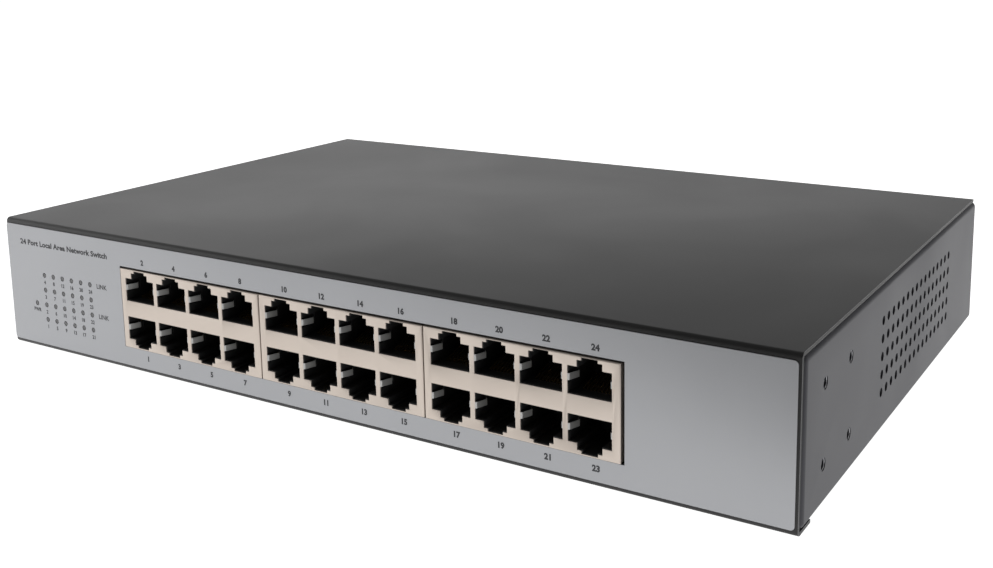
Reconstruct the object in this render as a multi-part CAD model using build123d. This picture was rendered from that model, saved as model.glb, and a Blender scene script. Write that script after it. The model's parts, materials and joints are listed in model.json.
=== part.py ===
from build123d import *
import math
import os

# A 24-port network switch in a folded steel case.
# Millimetres. X runs along the front panel, Y from the front to the back, +Z up.
# While it is built, Y = 0 is the front panel's outer face. Every node is then moved back
# by origin_shift, so that the finished object stands on Z = 0 with its box centred on the origin.

# ---- driving sizes -------------------------------------------------------------------
case_width = 280.0
case_depth = 180.0
case_height = 44.0

# The cover is one sheet: top, front panel and a short lip under the tray.
cover_sheet = 0.9
cover_bend_radius = 1.3
cover_lip = 8.7
cover_side_inset = 0.5
cover_back_inset = 0.5
slide_gap = 0.15  # between the cover's sheet and the tray's sheet

# The base tray is a second sheet: bottom, sides and back.
tray_sheet = 0.9
tray_bend_radius = 1.7
tray_flange = 9.0
tray_front_rim = 3.4

# Cover tabs and their screws, on the back.
tab_width = 14.0
tab_height = 8.0
tab_count = 3
tab_margin = 34.0  # from the case's side to the centre of an end tab
screw_radius = 1.5
screw_head_radius = 2.8
screw_head_height = 1.9
screw_free = 0.05  # round a screw where it passes a tab
hole_free = 0.25  # round a screw where it passes a wall

# Threaded holes for rack ears, four in each side.
ear_hole_radius = 1.65
ear_hole_pitch = 20.32
ear_hole_centre_y = 25.75
ear_hole_centre_z = 22.0
ear_collar_radius = 2.5
ear_collar_length = 1.1

# Vent holes, one field in each side.
vent_radius = 1.3
vent_pitch = 5.08
vent_columns = 16
vent_rows = 5
vent_first_y = 65.2
vent_centre_z = 22.95

# Printed film on the front panel.
film_thickness = 0.25
film_left = 0.5
film_right = 1.3
film_top = 1.8
film_bottom = 1.6
film_corner = 1.1

# Port modules: three blocks of two rows by four columns.
module_count = 3
module_columns = 4
module_gap = 0.32
module_side = 2.345  # of shield beyond the outer sockets
module_depth = 26.5
module_proud = 0.5
shield_sheet = 0.3
shield_edge_radius = 0.35
port_wall = 1.47  # between two sockets
first_port_left = 59.0  # from the case's left side to the first opening
port_width = 12.5
port_height = 7.45
shoulder_width = 7.2
shoulder_height = 1.8
notch_width = 4.7
notch_height = 0.8
row_gap = 5.15
row_middle_z = 20.85
module_rim = 0.3  # of shield beyond the latch notch, above and below
port_rim = 0.25  # how far the plastic shows inside the shield's opening
plug_depth = 13.2
side_spring_height = 1.75
side_spring_length = 4.5
side_spring_reach = 1.15
side_spring_sheet = 0.2
spring_level_upper = 0.585  # of the socket's height, to the middle of its springs
spring_level_lower = 0.52
contact_pitch = 1.02
contact_count = 8
contact_width = 0.4
contact_thickness = 0.3
contact_rise = 2.4

# Cut-out for the port modules in the cover and in the film.
cutout_left_gap = 0.25
cutout_right_gap = 0.95
cutout_top_gap = 0.6
cutout_bottom_gap = 0.2

# Indicator lights, as seen on the front panel.
light_radius = 0.8
light_hole_free = 0.1
light_columns = 6
light_rows = 4
light_column_pitch = 4.57
light_row_pitch = 5.12
light_first_x = 18.45  # from the case's left side
light_top_z = 26.0
power_light_x = 13.55
power_light_row = 2
light_holder_front = 3.2
light_holder_depth = 5.5
light_holder_margin = 1.6

# Boards and their posts.
board_thickness = 1.6
board_front = 2.6
main_board_left = 11.0
main_board_right_margin = 14.0
main_board_depth = 84.0
post_radius = 2.9
post_flange_radius = 3.6
post_flange_height = 0.8
post_hole_radius = 1.5
board_hole_radius = 1.75
board_hole_inset = 5.0
board_screw_head_radius = 2.7
board_screw_head_height = 1.7

# Power supply board, in the back right corner.
power_board_width = 96.0
power_board_depth = 56.0
power_board_right_gap = 12.0
power_board_back_gap = 26.0
insulator_thickness = 0.4
insulator_margin = 3.0

# Mains inlet, in the back wall.
inlet_right_gap = 48.0  # from the case's right side to the inlet's centre
inlet_centre_z = 22.0
inlet_flange_width = 50.0
inlet_flange_height = 27.0
inlet_flange_thickness = 2.5
inlet_flange_corner = 6.0
inlet_body_width = 27.2
inlet_body_height = 19.8
inlet_body_depth = 18.0
inlet_wall = 1.4
inlet_cut_free = 0.2
inlet_screw_pitch = 40.0
inlet_bevel = 5.0
blade_thickness = 2.0
blade_height = 4.0
blade_spacing = 14.0
blade_offset = 2.0
blade_reach = 15.0
spade_length = 6.5
spade_thickness = 0.8
nut_radius = 3.0
nut_height = 2.4

# Wires between the inlet, the power supply and the main board.
mains_wire_radius = 1.1
mains_wire_bend = 2.5
earth_wire_bend = 3.4
signal_wire_radius = 0.7
signal_wire_bend = 5.0
signal_wire_pitch = 2.5
signal_wire_count = 4

# foot marks: shallow dimples pressed in the tray's bottom
foot_mark_radius = 6.5
foot_mark_depth = 0.3
foot_mark_inset = 22.0

# main board's components
chip_size = 20.0
chip_height = 1.4
chip_from_block = 91.5
chip_y = 62.0
sink_size = 28.0
sink_base = 2.0
sink_height = 10.0
fin_count = 8
fin_thickness = 1.1
magnetics_width = 27.4
magnetics_depth = 9.6
magnetics_height = 5.8
magnetics_per_module = 2
magnetics_gap = 5.0
header_width = 12.4
header_depth = 5.7
header_height = 6.0
plug_height = 7.0
header_inset = 13.0
header_wall = 0.8
header_floor = 1.5
header_free = 0.1  # between a header and its plug
filter_can_radius = 3.15
filter_can_height = 11.0
filter_can_pitch = 14.0
filter_can_back = 9.0  # from the board's back edge
can_rim = 0.5
can_groove_low = 1.6
can_groove_high = 2.2
can_groove_depth = 0.25
crystal_width = 11.0
crystal_depth = 4.6
crystal_height = 3.5
crystal_from_chip = 26.0
coil_size = 10.0
coil_height = 4.5
supply_inset = 14.0  # of the coil and the regulator from their header
regulator_width = 6.5
regulator_depth = 6.1
regulator_height = 2.3
regulator_tab_width = 5.2
regulator_tab_depth = 1.7
regulator_tab_height = 0.6

# power supply's components
core_width = 24.0
core_depth = 9.0
core_leg = 4.0
core_bottom_gap = 2.0  # under the core, above the board
core_top = 21.0  # above the board
window_bottom = 5.5  # above the board
winding_depth = 20.0
bobbin_foot_width = 20.0
bobbin_foot_depth = 3.6
bobbin_foot_offset = 8.0
bulk_can_radius = 9.0
bulk_can_height = 25.0
output_can_radius = 5.0
output_can_height = 16.0
output_can_pitch = 13.0
heat_plate_thickness = 2.0
heat_plate_width = 30.0
heat_plate_height = 22.0
heat_plate_foot = 8.0
transistor_width = 10.0
transistor_depth = 4.4
transistor_height = 9.0
transistor_tab_depth = 1.3
transistor_tab_height = 15.5
transistor_lift = 4.0  # of its body above the board
transistor_leg_pitch = 2.54
transistor_leg_width = 0.8
transistor_leg_thickness = 0.5
choke_width = 17.0
choke_depth = 12.0
choke_height = 15.0
choke_leg = 4.0
choke_yoke = 3.5
choke_base = 1.5
choke_coil_width = 8.2
choke_coil_depth = 15.5
choke_coil_height = 9.2
choke_coil_offset = 6.2
line_capacitor_width = 18.0
line_capacitor_depth = 8.5
line_capacitor_height = 14.5
fuse_width = 8.4
fuse_depth = 4.2
fuse_height = 7.8
mains_header_width = 12.0
mains_header_depth = 8.0
mains_header_height = 7.0
mains_header_inset = 6.0  # from the power board's back edge

# earthing and wires
earth_from_inlet = 16.0  # from the inlet's flange to the earth screw
earth_z = 20.0
earth_screw_radius = 1.75
earth_head_radius = 3.4
earth_head_height = 1.8
earth_nut_radius = 3.5
earth_washer_thickness = 0.5
earth_washer_radius = 4.0
earth_washer_teeth = 12
earth_tooth_radius = 0.6
earth_ring_thickness = 0.8
earth_barrel_length = 4.5
earth_barrel_depth = 1.4
earth_barrel_half = 1.6
sleeve_length = 9.0
sleeve_over = 5.0  # of the sleeve that covers the inlet's spade
sleeve_half_width = 1.8
sleeve_half_height = 3.2
signal_crown = 11.0  # of the low-voltage wires above their plugs

# ---- worked-out places ---------------------------------------------------------------
half_width = case_width / 2
tray_bottom = cover_sheet + slide_gap
tray_front = cover_sheet + slide_gap
tray_top = case_height - cover_sheet - slide_gap
floor_z = tray_bottom + tray_sheet
back_inner = case_depth - tray_sheet
tab_back = back_inner - slide_gap
tab_z = case_height - cover_sheet - tab_height / 2

port_pitch = port_width + port_wall
column_span = (module_columns - 1) * port_pitch + port_width
module_width = column_span + 2 * module_side
module_pitch = module_width + module_gap
opening_stack = port_height + shoulder_height + notch_height
module_half = row_gap / 2 + opening_stack + module_rim
module_bottom = row_middle_z - module_half
module_top = row_middle_z + module_half
board_top = module_bottom
board_bottom = board_top - board_thickness
block_left = -half_width + first_port_left - module_side
block_right = block_left + (module_count - 1) * module_pitch + module_width
module_back = module_depth - module_proud

rear_proud = inlet_flange_thickness
front_proud = module_proud
origin_shift = -(case_depth + rear_proud - front_proud) / 2

inlet_x = half_width - inlet_right_gap
power_board_right = half_width - power_board_right_gap
power_board_left = power_board_right - power_board_width
power_board_back = case_depth - power_board_back_gap
power_board_front = power_board_back - power_board_depth
main_board_x0 = -half_width + main_board_left
main_board_x1 = block_right + main_board_right_margin
main_board_back = board_front + main_board_depth

chip_x = block_left + chip_from_block
chip_top = board_top + chip_height
magnetics_back = module_back + magnetics_gap + magnetics_depth
main_header_x = main_board_x1 - header_inset
main_header_y = main_board_back - header_inset
power_middle_x = (power_board_left + power_board_right) / 2
transformer_x = power_middle_x - 12.0
transformer_y = power_board_front + 24.0
bulk_can_x = power_board_right - 16.0
bulk_can_y = power_board_front + 17.0
heat_plate_x = power_middle_x + 14.0
heat_plate_y = power_board_front + 6.0
power_header_x = power_board_left + header_inset
power_header_y = power_board_front + 10.0
choke_x = power_board_right - choke_width
choke_y = power_board_back - 1.5 * choke_depth
line_capacitor_y = power_board_back - 20.0
mains_header_x = inlet_x
mains_header_y = power_board_back - mains_header_inset
earth_x = inlet_x - inlet_flange_width / 2 - earth_from_inlet
spade_end = case_depth - inlet_body_depth - spade_length


# ---- helpers -------------------------------------------------------------------------
def block(x0, x1, y0, y1, z0, z1):
    """A box between two corners."""
    return Pos((x0 + x1) / 2, (y0 + y1) / 2, (z0 + z1) / 2) * Box(
        x1 - x0, y1 - y0, z1 - z0
    )


def centred(x, y, z0, width, depth, height):
    """A box that stands on z0, centred on x and y."""
    return block(
        x - width / 2, x + width / 2, y - depth / 2, y + depth / 2, z0, z0 + height
    )


def rod_z(x, y, z0, z1, radius):
    return Pos(x, y, (z0 + z1) / 2) * Cylinder(radius, z1 - z0)


def rod_y(x, z, y0, y1, radius):
    return Pos(x, (y0 + y1) / 2, z) * Rot(90, 0, 0) * Cylinder(radius, y1 - y0)


def rod_x(y, z, x0, x1, radius):
    return Pos((x0 + x1) / 2, y, z) * Rot(0, 90, 0) * Cylinder(radius, x1 - x0)


def prism_y(points, y0, y1):
    """An outline of X, Z points, pushed from y0 to y1."""
    outline = Plane.XZ.offset(-y0) * Polygon(*points, align=None)
    return extrude(outline, amount=y1 - y0, dir=(0, 1, 0))


def prism_x(points, x0, x1):
    """An outline of Y, Z points, pushed from x0 to x1."""
    outline = Plane.YZ.offset(x0) * Polygon(*points, align=None)
    return extrude(outline, amount=x1 - x0, dir=(1, 0, 0))


def edges_along(solid, axis, test):
    """The straight edges parallel to axis whose middle passes the test."""
    return [edge for edge in solid.edges().filter_by(axis) if test(edge.center())]


def near(value, target):
    return abs(value - target) < 1e-4


def pan_screw(radius, head_radius, head_height, length):
    """A cross-recessed screw that points down -Z, with its head standing on Z = 0."""
    head = Pos(0, 0, head_height / 2) * Cylinder(head_radius, head_height)
    rim = head.edges().filter_by(GeomType.CIRCLE).sort_by(Axis.Z)[-1]
    head = fillet(rim, min(0.45 * head_height, 0.4 * head_radius))
    recess_depth = 0.6 * head_height
    recess = Pos(0, 0, head_height - recess_depth / 2)
    arm = 1.1 * head_radius
    head -= recess * Box(arm, 0.24 * head_radius, recess_depth)
    head -= recess * Box(0.24 * head_radius, arm, recess_depth)
    return head + Pos(0, 0, -length / 2) * Cylinder(radius, length)


def facing_back(x, y, z):
    """Puts a -Z screw into the back wall, with its head towards +Y."""
    return Pos(x, y, z) * Rot(-90, 0, 0)


def save(name, *solids):
    """Writes one node, with its solids kept separate, at its place in the finished frame."""
    moved = [Pos(0, origin_shift, 0) * solid for solid in solids]
    shape = moved[0] if len(moved) == 1 else Compound(children=moved)
    export_step(shape, os.path.join("parts", name + ".step"))


def spread(count, pitch, middle=0.0):
    """Places count things at a pitch, centred on middle."""
    return [middle + (index - (count - 1) / 2) * pitch for index in range(count)]


# ---- port outline --------------------------------------------------------------------
def port_columns(module):
    """The centres of the port columns of one module."""
    first = -half_width + first_port_left + port_width / 2 + module * module_pitch
    return [first + column * port_pitch for column in range(module_columns)]


def port_outline(x, way, rim=0.0):
    """The stepped opening of a socket. way is +1 where the latch is up, and -1 where it is down."""
    half = port_width / 2 - rim
    shoulder = shoulder_width / 2 - rim
    notch = notch_width / 2 - rim
    base = row_middle_z + way * (row_gap / 2 + rim)
    step = row_middle_z + way * (row_gap / 2 + port_height - rim)
    shelf = step + way * shoulder_height
    top = shelf + way * notch_height
    return [
        (x - half, base),
        (x + half, base),
        (x + half, step),
        (x + shoulder, step),
        (x + shoulder, shelf),
        (x + notch, shelf),
        (x + notch, top),
        (x - notch, top),
        (x - notch, shelf),
        (x - shoulder, shelf),
        (x - shoulder, step),
        (x - half, step),
    ]


def light_places():
    """X and Z of the port lights, in columns from the left and rows from the top."""
    first = -half_width + light_first_x
    return [
        (first + column * light_column_pitch, light_top_z - row * light_row_pitch)
        for column in range(light_columns)
        for row in range(light_rows)
    ]


power_light_place = (
    -half_width + power_light_x,
    light_top_z - power_light_row * light_row_pitch,
)
tab_places = spread(tab_count, (case_width - 2 * tab_margin) / (tab_count - 1))


# ---- case ----------------------------------------------------------------------------
def port_cutout(y0, y1):
    return block(
        block_left - cutout_left_gap,
        block_right + cutout_right_gap,
        y0,
        y1,
        module_bottom - cutout_bottom_gap,
        module_top + cutout_top_gap,
    )


def light_holes(y0, y1, radius):
    places = light_places() + [power_light_place]
    return [rod_y(x, z, y0, y1, radius) for x, z in places]


def make_cover():
    x1 = half_width - cover_side_inset
    back = case_depth - cover_back_inset
    outer = block(-x1, x1, 0, back, 0, case_height)
    outer = fillet(edges_along(outer, Axis.X, lambda c: near(c.Y, 0)), cover_bend_radius)
    inner = block(
        -x1 - 1, x1 + 1, cover_sheet, back + 1, cover_sheet, case_height - cover_sheet
    )
    bends = edges_along(inner, Axis.X, lambda c: near(c.Y, cover_sheet))
    inner = fillet(bends, cover_bend_radius - cover_sheet)
    cover = outer - inner
    cover -= block(-x1 - 1, x1 + 1, cover_lip, back + 1, -1, cover_sheet + 1)
    for x in tab_places:
        tab = centred(
            x, tab_back - cover_sheet / 2, tab_z - tab_height / 2, tab_width, cover_sheet,
            tab_height + cover_sheet / 2,
        )
        lower = edges_along(tab, Axis.Y, lambda c: c.Z < tab_z)
        cover += fillet(lower, 2.0)
    cover -= port_cutout(-1, cover_sheet + 1)
    cover -= light_holes(-1, cover_sheet + 1, light_radius + light_hole_free)
    tab_hole = screw_radius + screw_free
    cover -= [rod_y(x, tab_z, tab_back - 3, tab_back + 3, tab_hole) for x in tab_places]
    return cover


def make_film():
    film = block(
        -half_width + film_left,
        half_width - film_right,
        -film_thickness,
        0,
        film_bottom,
        case_height - film_top,
    )
    film = fillet(film.edges().filter_by(Axis.Y), film_corner)
    film -= port_cutout(-1, 1)
    film -= light_holes(-1, 1, light_radius + light_hole_free / 2)
    return film


def ear_hole_places():
    places_y = spread(2, ear_hole_pitch, ear_hole_centre_y)
    places_z = spread(2, ear_hole_pitch, ear_hole_centre_z)
    return [(y, z) for y in places_y for z in places_z]


def vent_places():
    rows = spread(vent_rows, vent_pitch, vent_centre_z)
    columns = [vent_first_y + column * vent_pitch for column in range(vent_columns)]
    return [(y, z) for y in columns for z in rows]


def tray_bends(solid, front, bottom):
    """The edges where the tray's sheet is folded: all but the back's top and its two corners."""
    bends = edges_along(solid, Axis.Y, lambda c: True)
    bends += edges_along(solid, Axis.Z, lambda c: near(c.Y, front))
    return bends + edges_along(
        solid, Axis.X, lambda c: near(c.Y, front) or near(c.Z, bottom)
    )


def make_tray():
    outer = block(-half_width, half_width, tray_front, case_depth, tray_bottom, tray_top)
    outer = fillet(tray_bends(outer, tray_front, tray_bottom), tray_bend_radius)
    inner = block(
        -half_width + tray_sheet,
        half_width - tray_sheet,
        tray_front + tray_sheet,
        back_inner,
        floor_z,
        tray_top - tray_sheet,
    )
    bends = tray_bends(inner, tray_front + tray_sheet, floor_z)
    inner = fillet(bends, tray_bend_radius - tray_sheet)
    tray = outer - inner
    mouth = half_width - tray_flange
    tray -= block(-mouth, mouth, tray_front - 1, back_inner, tray_top - 2, tray_top + 1)
    rim_top = floor_z + tray_front_rim
    tray -= block(-mouth, mouth, tray_front - 1, tray_front + 2, rim_top, tray_top + 1)
    for side in (-1, 1):
        wall = side * (half_width - tray_sheet)
        for y, z in ear_hole_places():
            tray += rod_x(
                y, z, min(wall, wall - side * ear_collar_length),
                max(wall, wall - side * ear_collar_length), ear_collar_radius,
            )
    holes = [
        rod_x(y, z, -half_width - 1, half_width + 1, ear_hole_radius)
        for y, z in ear_hole_places()
    ]
    holes += [
        rod_x(y, z, -half_width - 1, half_width + 1, vent_radius)
        for y, z in vent_places()
    ]
    wall_hole = screw_radius + hole_free
    holes += [
        rod_y(x, tab_z, back_inner - 1, case_depth + 1, wall_hole) for x in tab_places
    ]
    free = inlet_cut_free
    holes.append(
        centred(
            inlet_x,
            case_depth - tray_sheet / 2,
            inlet_centre_z - inlet_body_height / 2 - free,
            inlet_body_width + 2 * free,
            4 * tray_sheet,
            inlet_body_height + 2 * free,
        )
    )
    holes += [
        rod_y(x, inlet_centre_z, back_inner - 1, case_depth + 1, wall_hole)
        for x in spread(2, inlet_screw_pitch, inlet_x)
    ]
    holes.append(
        rod_y(earth_x, earth_z, back_inner - 1, case_depth + 1, earth_screw_radius)
    )
    for x in (-half_width + foot_mark_inset, half_width - foot_mark_inset):
        for y in (foot_mark_inset, case_depth - foot_mark_inset):
            mark_top = tray_bottom + foot_mark_depth
            holes.append(rod_z(x, y, tray_bottom - 1, mark_top, foot_mark_radius))
    tray -= holes
    return tray


def make_cover_screws():
    screw = pan_screw(screw_radius, screw_head_radius, screw_head_height, 6.0)
    return [facing_back(x, case_depth, tab_z) * screw for x in tab_places]


# ---- port modules --------------------------------------------------------------------
def module_box(module, inset, front, back, bottom, top):
    left = block_left + module * module_pitch
    return block(left + inset, left + module_width - inset, front, back, bottom, top)


def side_spring(x, z, side):
    """A leaf that bends back from the shield's opening and leans into the socket."""
    front = -module_proud
    root = port_width / 2 - side_spring_sheet
    reach = root - side_spring_reach
    sheet = side_spring_sheet
    points = [
        (x + side * (root + sheet), front + 0.02),
        (x + side * (root + sheet), front + 0.22),
        (x + side * (root - 0.1), front + 0.6),
        (x + side * reach, front + side_spring_length - 1.0),
        (x + side * (root - 0.3), front + side_spring_length),
        (x + side * (root - 0.3 - sheet), front + side_spring_length - 0.1),
        (x + side * (reach - sheet), front + side_spring_length - 1.0),
        (x + side * (root - 0.1 - sheet), front + 0.3),
        (x + side * (root - 0.02), front + 0.02),
    ]
    outline = Plane.XY.offset(z - side_spring_height / 2) * Polygon(*points, align=None)
    return extrude(outline, amount=side_spring_height, dir=(0, 0, 1))


def make_shield(module):
    front = -module_proud
    outer = module_box(module, 0, front, module_back, module_bottom, module_top)
    rim = [
        edge
        for edge in outer.edges()
        if near(edge.center().Y, front) and edge.center().Z > module_bottom + 0.01
    ]
    outer = fillet(rim, shield_edge_radius)
    inner = module_box(
        module,
        shield_sheet,
        front + shield_sheet,
        module_back - shield_sheet,
        module_bottom - 1,
        module_top - shield_sheet,
    )
    shield = outer - inner
    cuts = []
    leaves = []
    for x in port_columns(module):
        for way in (1, -1):
            cuts.append(
                prism_y(port_outline(x, way), front - 1, front + shield_sheet + 0.05)
            )
            for side in (-1, 1):
                leaves.append(side_spring(x, spring_z(way), side))
    shield -= cuts
    return shield, leaves


def spring_z(way):
    """Height of the side springs' middle. Both rows have them above the middle of the socket."""
    base = row_middle_z + way * row_gap / 2
    if way > 0:
        return base + spring_level_upper * port_height
    return base - (1 - spring_level_lower) * port_height


def make_housing(module):
    inset = shield_sheet
    housing = module_box(
        module,
        inset,
        -module_proud + shield_sheet,
        plug_depth,
        module_bottom,
        module_top - shield_sheet,
    )
    cuts = []
    pocket = side_spring_sheet + 0.35
    for x in port_columns(module):
        for way in (1, -1):
            cuts.append(prism_y(port_outline(x, way, port_rim), -2, plug_depth + 1))
            half = port_width / 2 + 0.12
            slot = side_spring_height + 2 * pocket
            middle = spring_z(way)
            cuts.append(
                block(x - half, x + half, -2, side_spring_length + pocket,
                      middle - slot / 2, middle + slot / 2)
            )
    return housing - cuts


def make_inserts(module):
    """The moulded carriers that close the back of each column and hold its contacts."""
    carriers = []
    for x in port_columns(module):
        carrier = centred(
            x,
            (plug_depth + module_back - shield_sheet) / 2,
            module_bottom,
            port_pitch - 0.6,
            module_back - shield_sheet - plug_depth,
            module_top - shield_sheet - module_bottom,
        )
        carriers.append(carrier)
    return carriers


def make_contacts(module):
    """Eight sprung wires in each socket, on the side away from the latch."""
    wires = []
    thick = contact_thickness
    for x in port_columns(module):
        for way in (1, -1):
            base = row_middle_z + way * (row_gap / 2 + port_rim + 0.05)
            outline = [
                (plug_depth, base),
                (3.4, base),
                (3.1, base + way * 0.45),
                (9.6, base + way * contact_rise),
                (9.75, base + way * (contact_rise - thick)),
                (4.3, base + way * thick),
                (plug_depth, base + way * thick),
            ]
            for place in spread(contact_count, contact_pitch, x):
                wires.append(
                    prism_x(outline, place - contact_width / 2, place + contact_width / 2)
                )
    return wires


# ---- indicator lights ----------------------------------------------------------------
def make_light_holder():
    places = light_places() + [power_light_place]
    left = min(x for x, z in places) - light_holder_margin
    right = max(x for x, z in places) + light_holder_margin
    top = max(z for x, z in places) + light_holder_margin
    back = light_holder_front + light_holder_depth
    holder = block(left, right, light_holder_front, back, board_top, top)
    return fillet(edges_along(holder, Axis.X, lambda c: c.Z > row_middle_z), 0.6)


def light_pipe(x, z):
    pipe = rod_y(x, z, -film_thickness, light_holder_front, light_radius)
    tip = pipe.edges().filter_by(GeomType.CIRCLE).sort_by(Axis.Y)[0]
    return fillet(tip, 0.35)


# ---- boards --------------------------------------------------------------------------
def main_board_holes():
    x0 = main_board_x0 + board_hole_inset
    x1 = main_board_x1 - board_hole_inset
    y0 = magnetics_back + board_screw_head_radius + 2.0
    y1 = main_board_back - board_hole_inset
    return [(x, y) for x in (x0, (x0 + x1) / 2, x1) for y in (y0, y1)]


def power_board_holes():
    inset = board_hole_inset
    return [
        (x, y)
        for x in (power_board_left + inset, power_board_right - inset)
        for y in (power_board_front + inset, power_board_back - inset)
    ]


def make_board(x0, x1, y0, y1, holes):
    board = block(x0, x1, y0, y1, board_bottom, board_top)
    board = fillet(board.edges().filter_by(Axis.Z), 1.0)
    board -= [
        rod_z(x, y, board_bottom - 1, board_top + 1, board_hole_radius)
        for x, y in holes
    ]
    return board


def make_posts(holes, base):
    """Posts pressed into the tray's bottom, with a flange that spreads the load."""
    posts = []
    for x, y in holes:
        post = rod_z(x, y, base, board_bottom, post_radius)
        flange = rod_z(x, y, base, base + post_flange_height, post_flange_radius)
        bore = rod_z(x, y, base + 0.8, board_bottom + 1, post_hole_radius)
        posts.append(post + flange - bore)
    return posts


def make_board_screws(holes):
    length = board_thickness + 0.6 * (board_bottom - floor_z)
    screw = pan_screw(
        post_hole_radius, board_screw_head_radius, board_screw_head_height, length
    )
    return [Pos(x, y, board_top) * screw for x, y in holes]


# ---- main board's components ---------------------------------------------------------
def make_chip():
    chip = centred(chip_x, chip_y, board_top, chip_size, chip_size, chip_height)
    return chamfer(chip.edges().filter_by(Axis.Z), 0.6)


def make_chip_sink():
    sink = centred(chip_x, chip_y, chip_top, sink_size, sink_size, sink_base)
    fin_pitch = (sink_size - fin_thickness) / (fin_count - 1)
    for x in spread(fin_count, fin_pitch, chip_x):
        sink += centred(x, chip_y, chip_top, fin_thickness, sink_size, sink_height)
    return sink


def make_magnetics():
    y = module_back + magnetics_gap + magnetics_depth / 2
    pieces = []
    for module in range(module_count):
        middle = block_left + module * module_pitch + module_width / 2
        for x in spread(magnetics_per_module, module_width / 2, middle):
            piece = centred(
                x, y, board_top, magnetics_width, magnetics_depth, magnetics_height
            )
            top = piece.edges().filter_by(lambda e: e.center().Z > board_top + 1)
            pieces.append(chamfer(top, 0.5))
    return pieces


def can(x, y, z0, radius, height):
    """An upright electrolytic capacitor with a rolled edge."""
    body = rod_z(x, y, z0, z0 + height, radius)
    top = body.edges().filter_by(GeomType.CIRCLE).sort_by(Axis.Z)[-1]
    body = fillet(top, can_rim)
    low = z0 + can_groove_low
    high = z0 + can_groove_high
    groove = rod_z(x, y, low, high, radius + 1)
    groove -= rod_z(x, y, low, high, radius - can_groove_depth)
    return body - groove


def make_filter_cans():
    row_y = main_board_back - filter_can_back
    left_x = chip_x - 2.6 * chip_size
    right_x = main_header_x - supply_inset - 12.0
    places = [(x, row_y) for x in spread(3, filter_can_pitch, left_x)]
    places += [(right_x, row_y), (right_x, row_y - 12.0)]
    return [can(x, y, board_top, filter_can_radius, filter_can_height) for x, y in places]


def make_crystal():
    x = chip_x + crystal_from_chip
    body = centred(x, chip_y + 2.0, board_top, crystal_width, crystal_depth, crystal_height)
    return fillet(body.edges().filter_by(Axis.Z), 0.478 * crystal_depth)


def make_coil():
    x = main_header_x - supply_inset
    y = main_header_y - supply_inset
    coil = centred(x, y, board_top, coil_size, coil_size, coil_height)
    return fillet(coil.edges().filter_by(Axis.Z), 2.0)


def make_regulator():
    x = main_header_x - supply_inset
    y = main_header_y
    body = centred(x, y, board_top, regulator_width, regulator_depth, regulator_height)
    tab_y = y + (regulator_depth + regulator_tab_depth) / 2
    return body + centred(
        x, tab_y, board_top, regulator_tab_width, regulator_tab_depth, regulator_tab_height
    )


def make_header(x, y):
    """A shrouded four-way header, open at the top for its plug."""
    shroud = centred(x, y, board_top, header_width, header_depth, header_height)
    shroud -= centred(
        x, y, board_top + header_floor, header_width - 2 * header_wall,
        header_depth - 2 * header_wall, header_height
    )
    return shroud


def make_header_plug(x, y):
    skin = 2 * (header_wall + header_free)
    return centred(
        x, y, board_top + header_floor, header_width - skin, header_depth - skin, plug_height
    )


# ---- power supply --------------------------------------------------------------------
def make_transformer():
    """The ferrite core, and the wound bobbin through it with its two feet."""
    x = transformer_x
    y = transformer_y
    core_z = board_top + core_bottom_gap
    window_z = board_top + window_bottom
    window_width = core_width - 2 * core_leg
    window_height = core_top - window_bottom - (window_bottom - core_bottom_gap)
    core = centred(x, y, core_z, core_width, core_depth, core_top - core_bottom_gap)
    core -= centred(x, y, window_z, window_width, core_depth + 2, window_height)
    winding = centred(x, y, window_z, window_width, winding_depth, window_height)
    winding = fillet(winding.edges().filter_by(Axis.X), 0.1 * winding_depth)
    feet = [
        centred(
            x, y + way * bobbin_foot_offset, board_top, bobbin_foot_width,
            bobbin_foot_depth, window_bottom,
        )
        for way in (-1, 1)
    ]
    return core, [winding] + feet


def make_bulk_can():
    return can(bulk_can_x, bulk_can_y, board_top, bulk_can_radius, bulk_can_height)


def make_output_cans():
    y = power_board_back - 10.0
    x0 = power_board_left + 16.0
    return [
        can(x0 + step * output_can_pitch, y, board_top, output_can_radius, output_can_height)
        for step in range(2)
    ]


def make_heat_plate():
    plate = centred(
        heat_plate_x, heat_plate_y, board_top, heat_plate_width, heat_plate_thickness,
        heat_plate_height,
    )
    foot = centred(
        heat_plate_x - heat_plate_width / 2 + heat_plate_thickness / 2,
        heat_plate_y + heat_plate_foot / 2,
        board_top,
        heat_plate_thickness,
        heat_plate_foot + heat_plate_thickness,
        heat_plate_height,
    )
    return plate + foot


def make_transistor():
    """A flat power transistor, screwed flat against the heat plate."""
    x = heat_plate_x
    half = transistor_width / 2
    y0 = heat_plate_y + heat_plate_thickness / 2
    z0 = board_top + transistor_lift
    tab_top = z0 + transistor_tab_height
    solid = block(x - half, x + half, y0, y0 + transistor_depth, z0, z0 + transistor_height)
    solid += block(x - half, x + half, y0, y0 + transistor_tab_depth, z0, tab_top)
    hole_radius = 0.18 * transistor_width
    solid -= rod_y(x, tab_top - 1.55 * hole_radius, y0 - 1, y0 + 3, hole_radius)
    leg_y = y0 + transistor_depth / 2
    for leg_x in spread(3, transistor_leg_pitch, x):
        solid += centred(
            leg_x, leg_y, board_top, transistor_leg_width, transistor_leg_thickness,
            transistor_lift,
        )
    return solid


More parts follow.
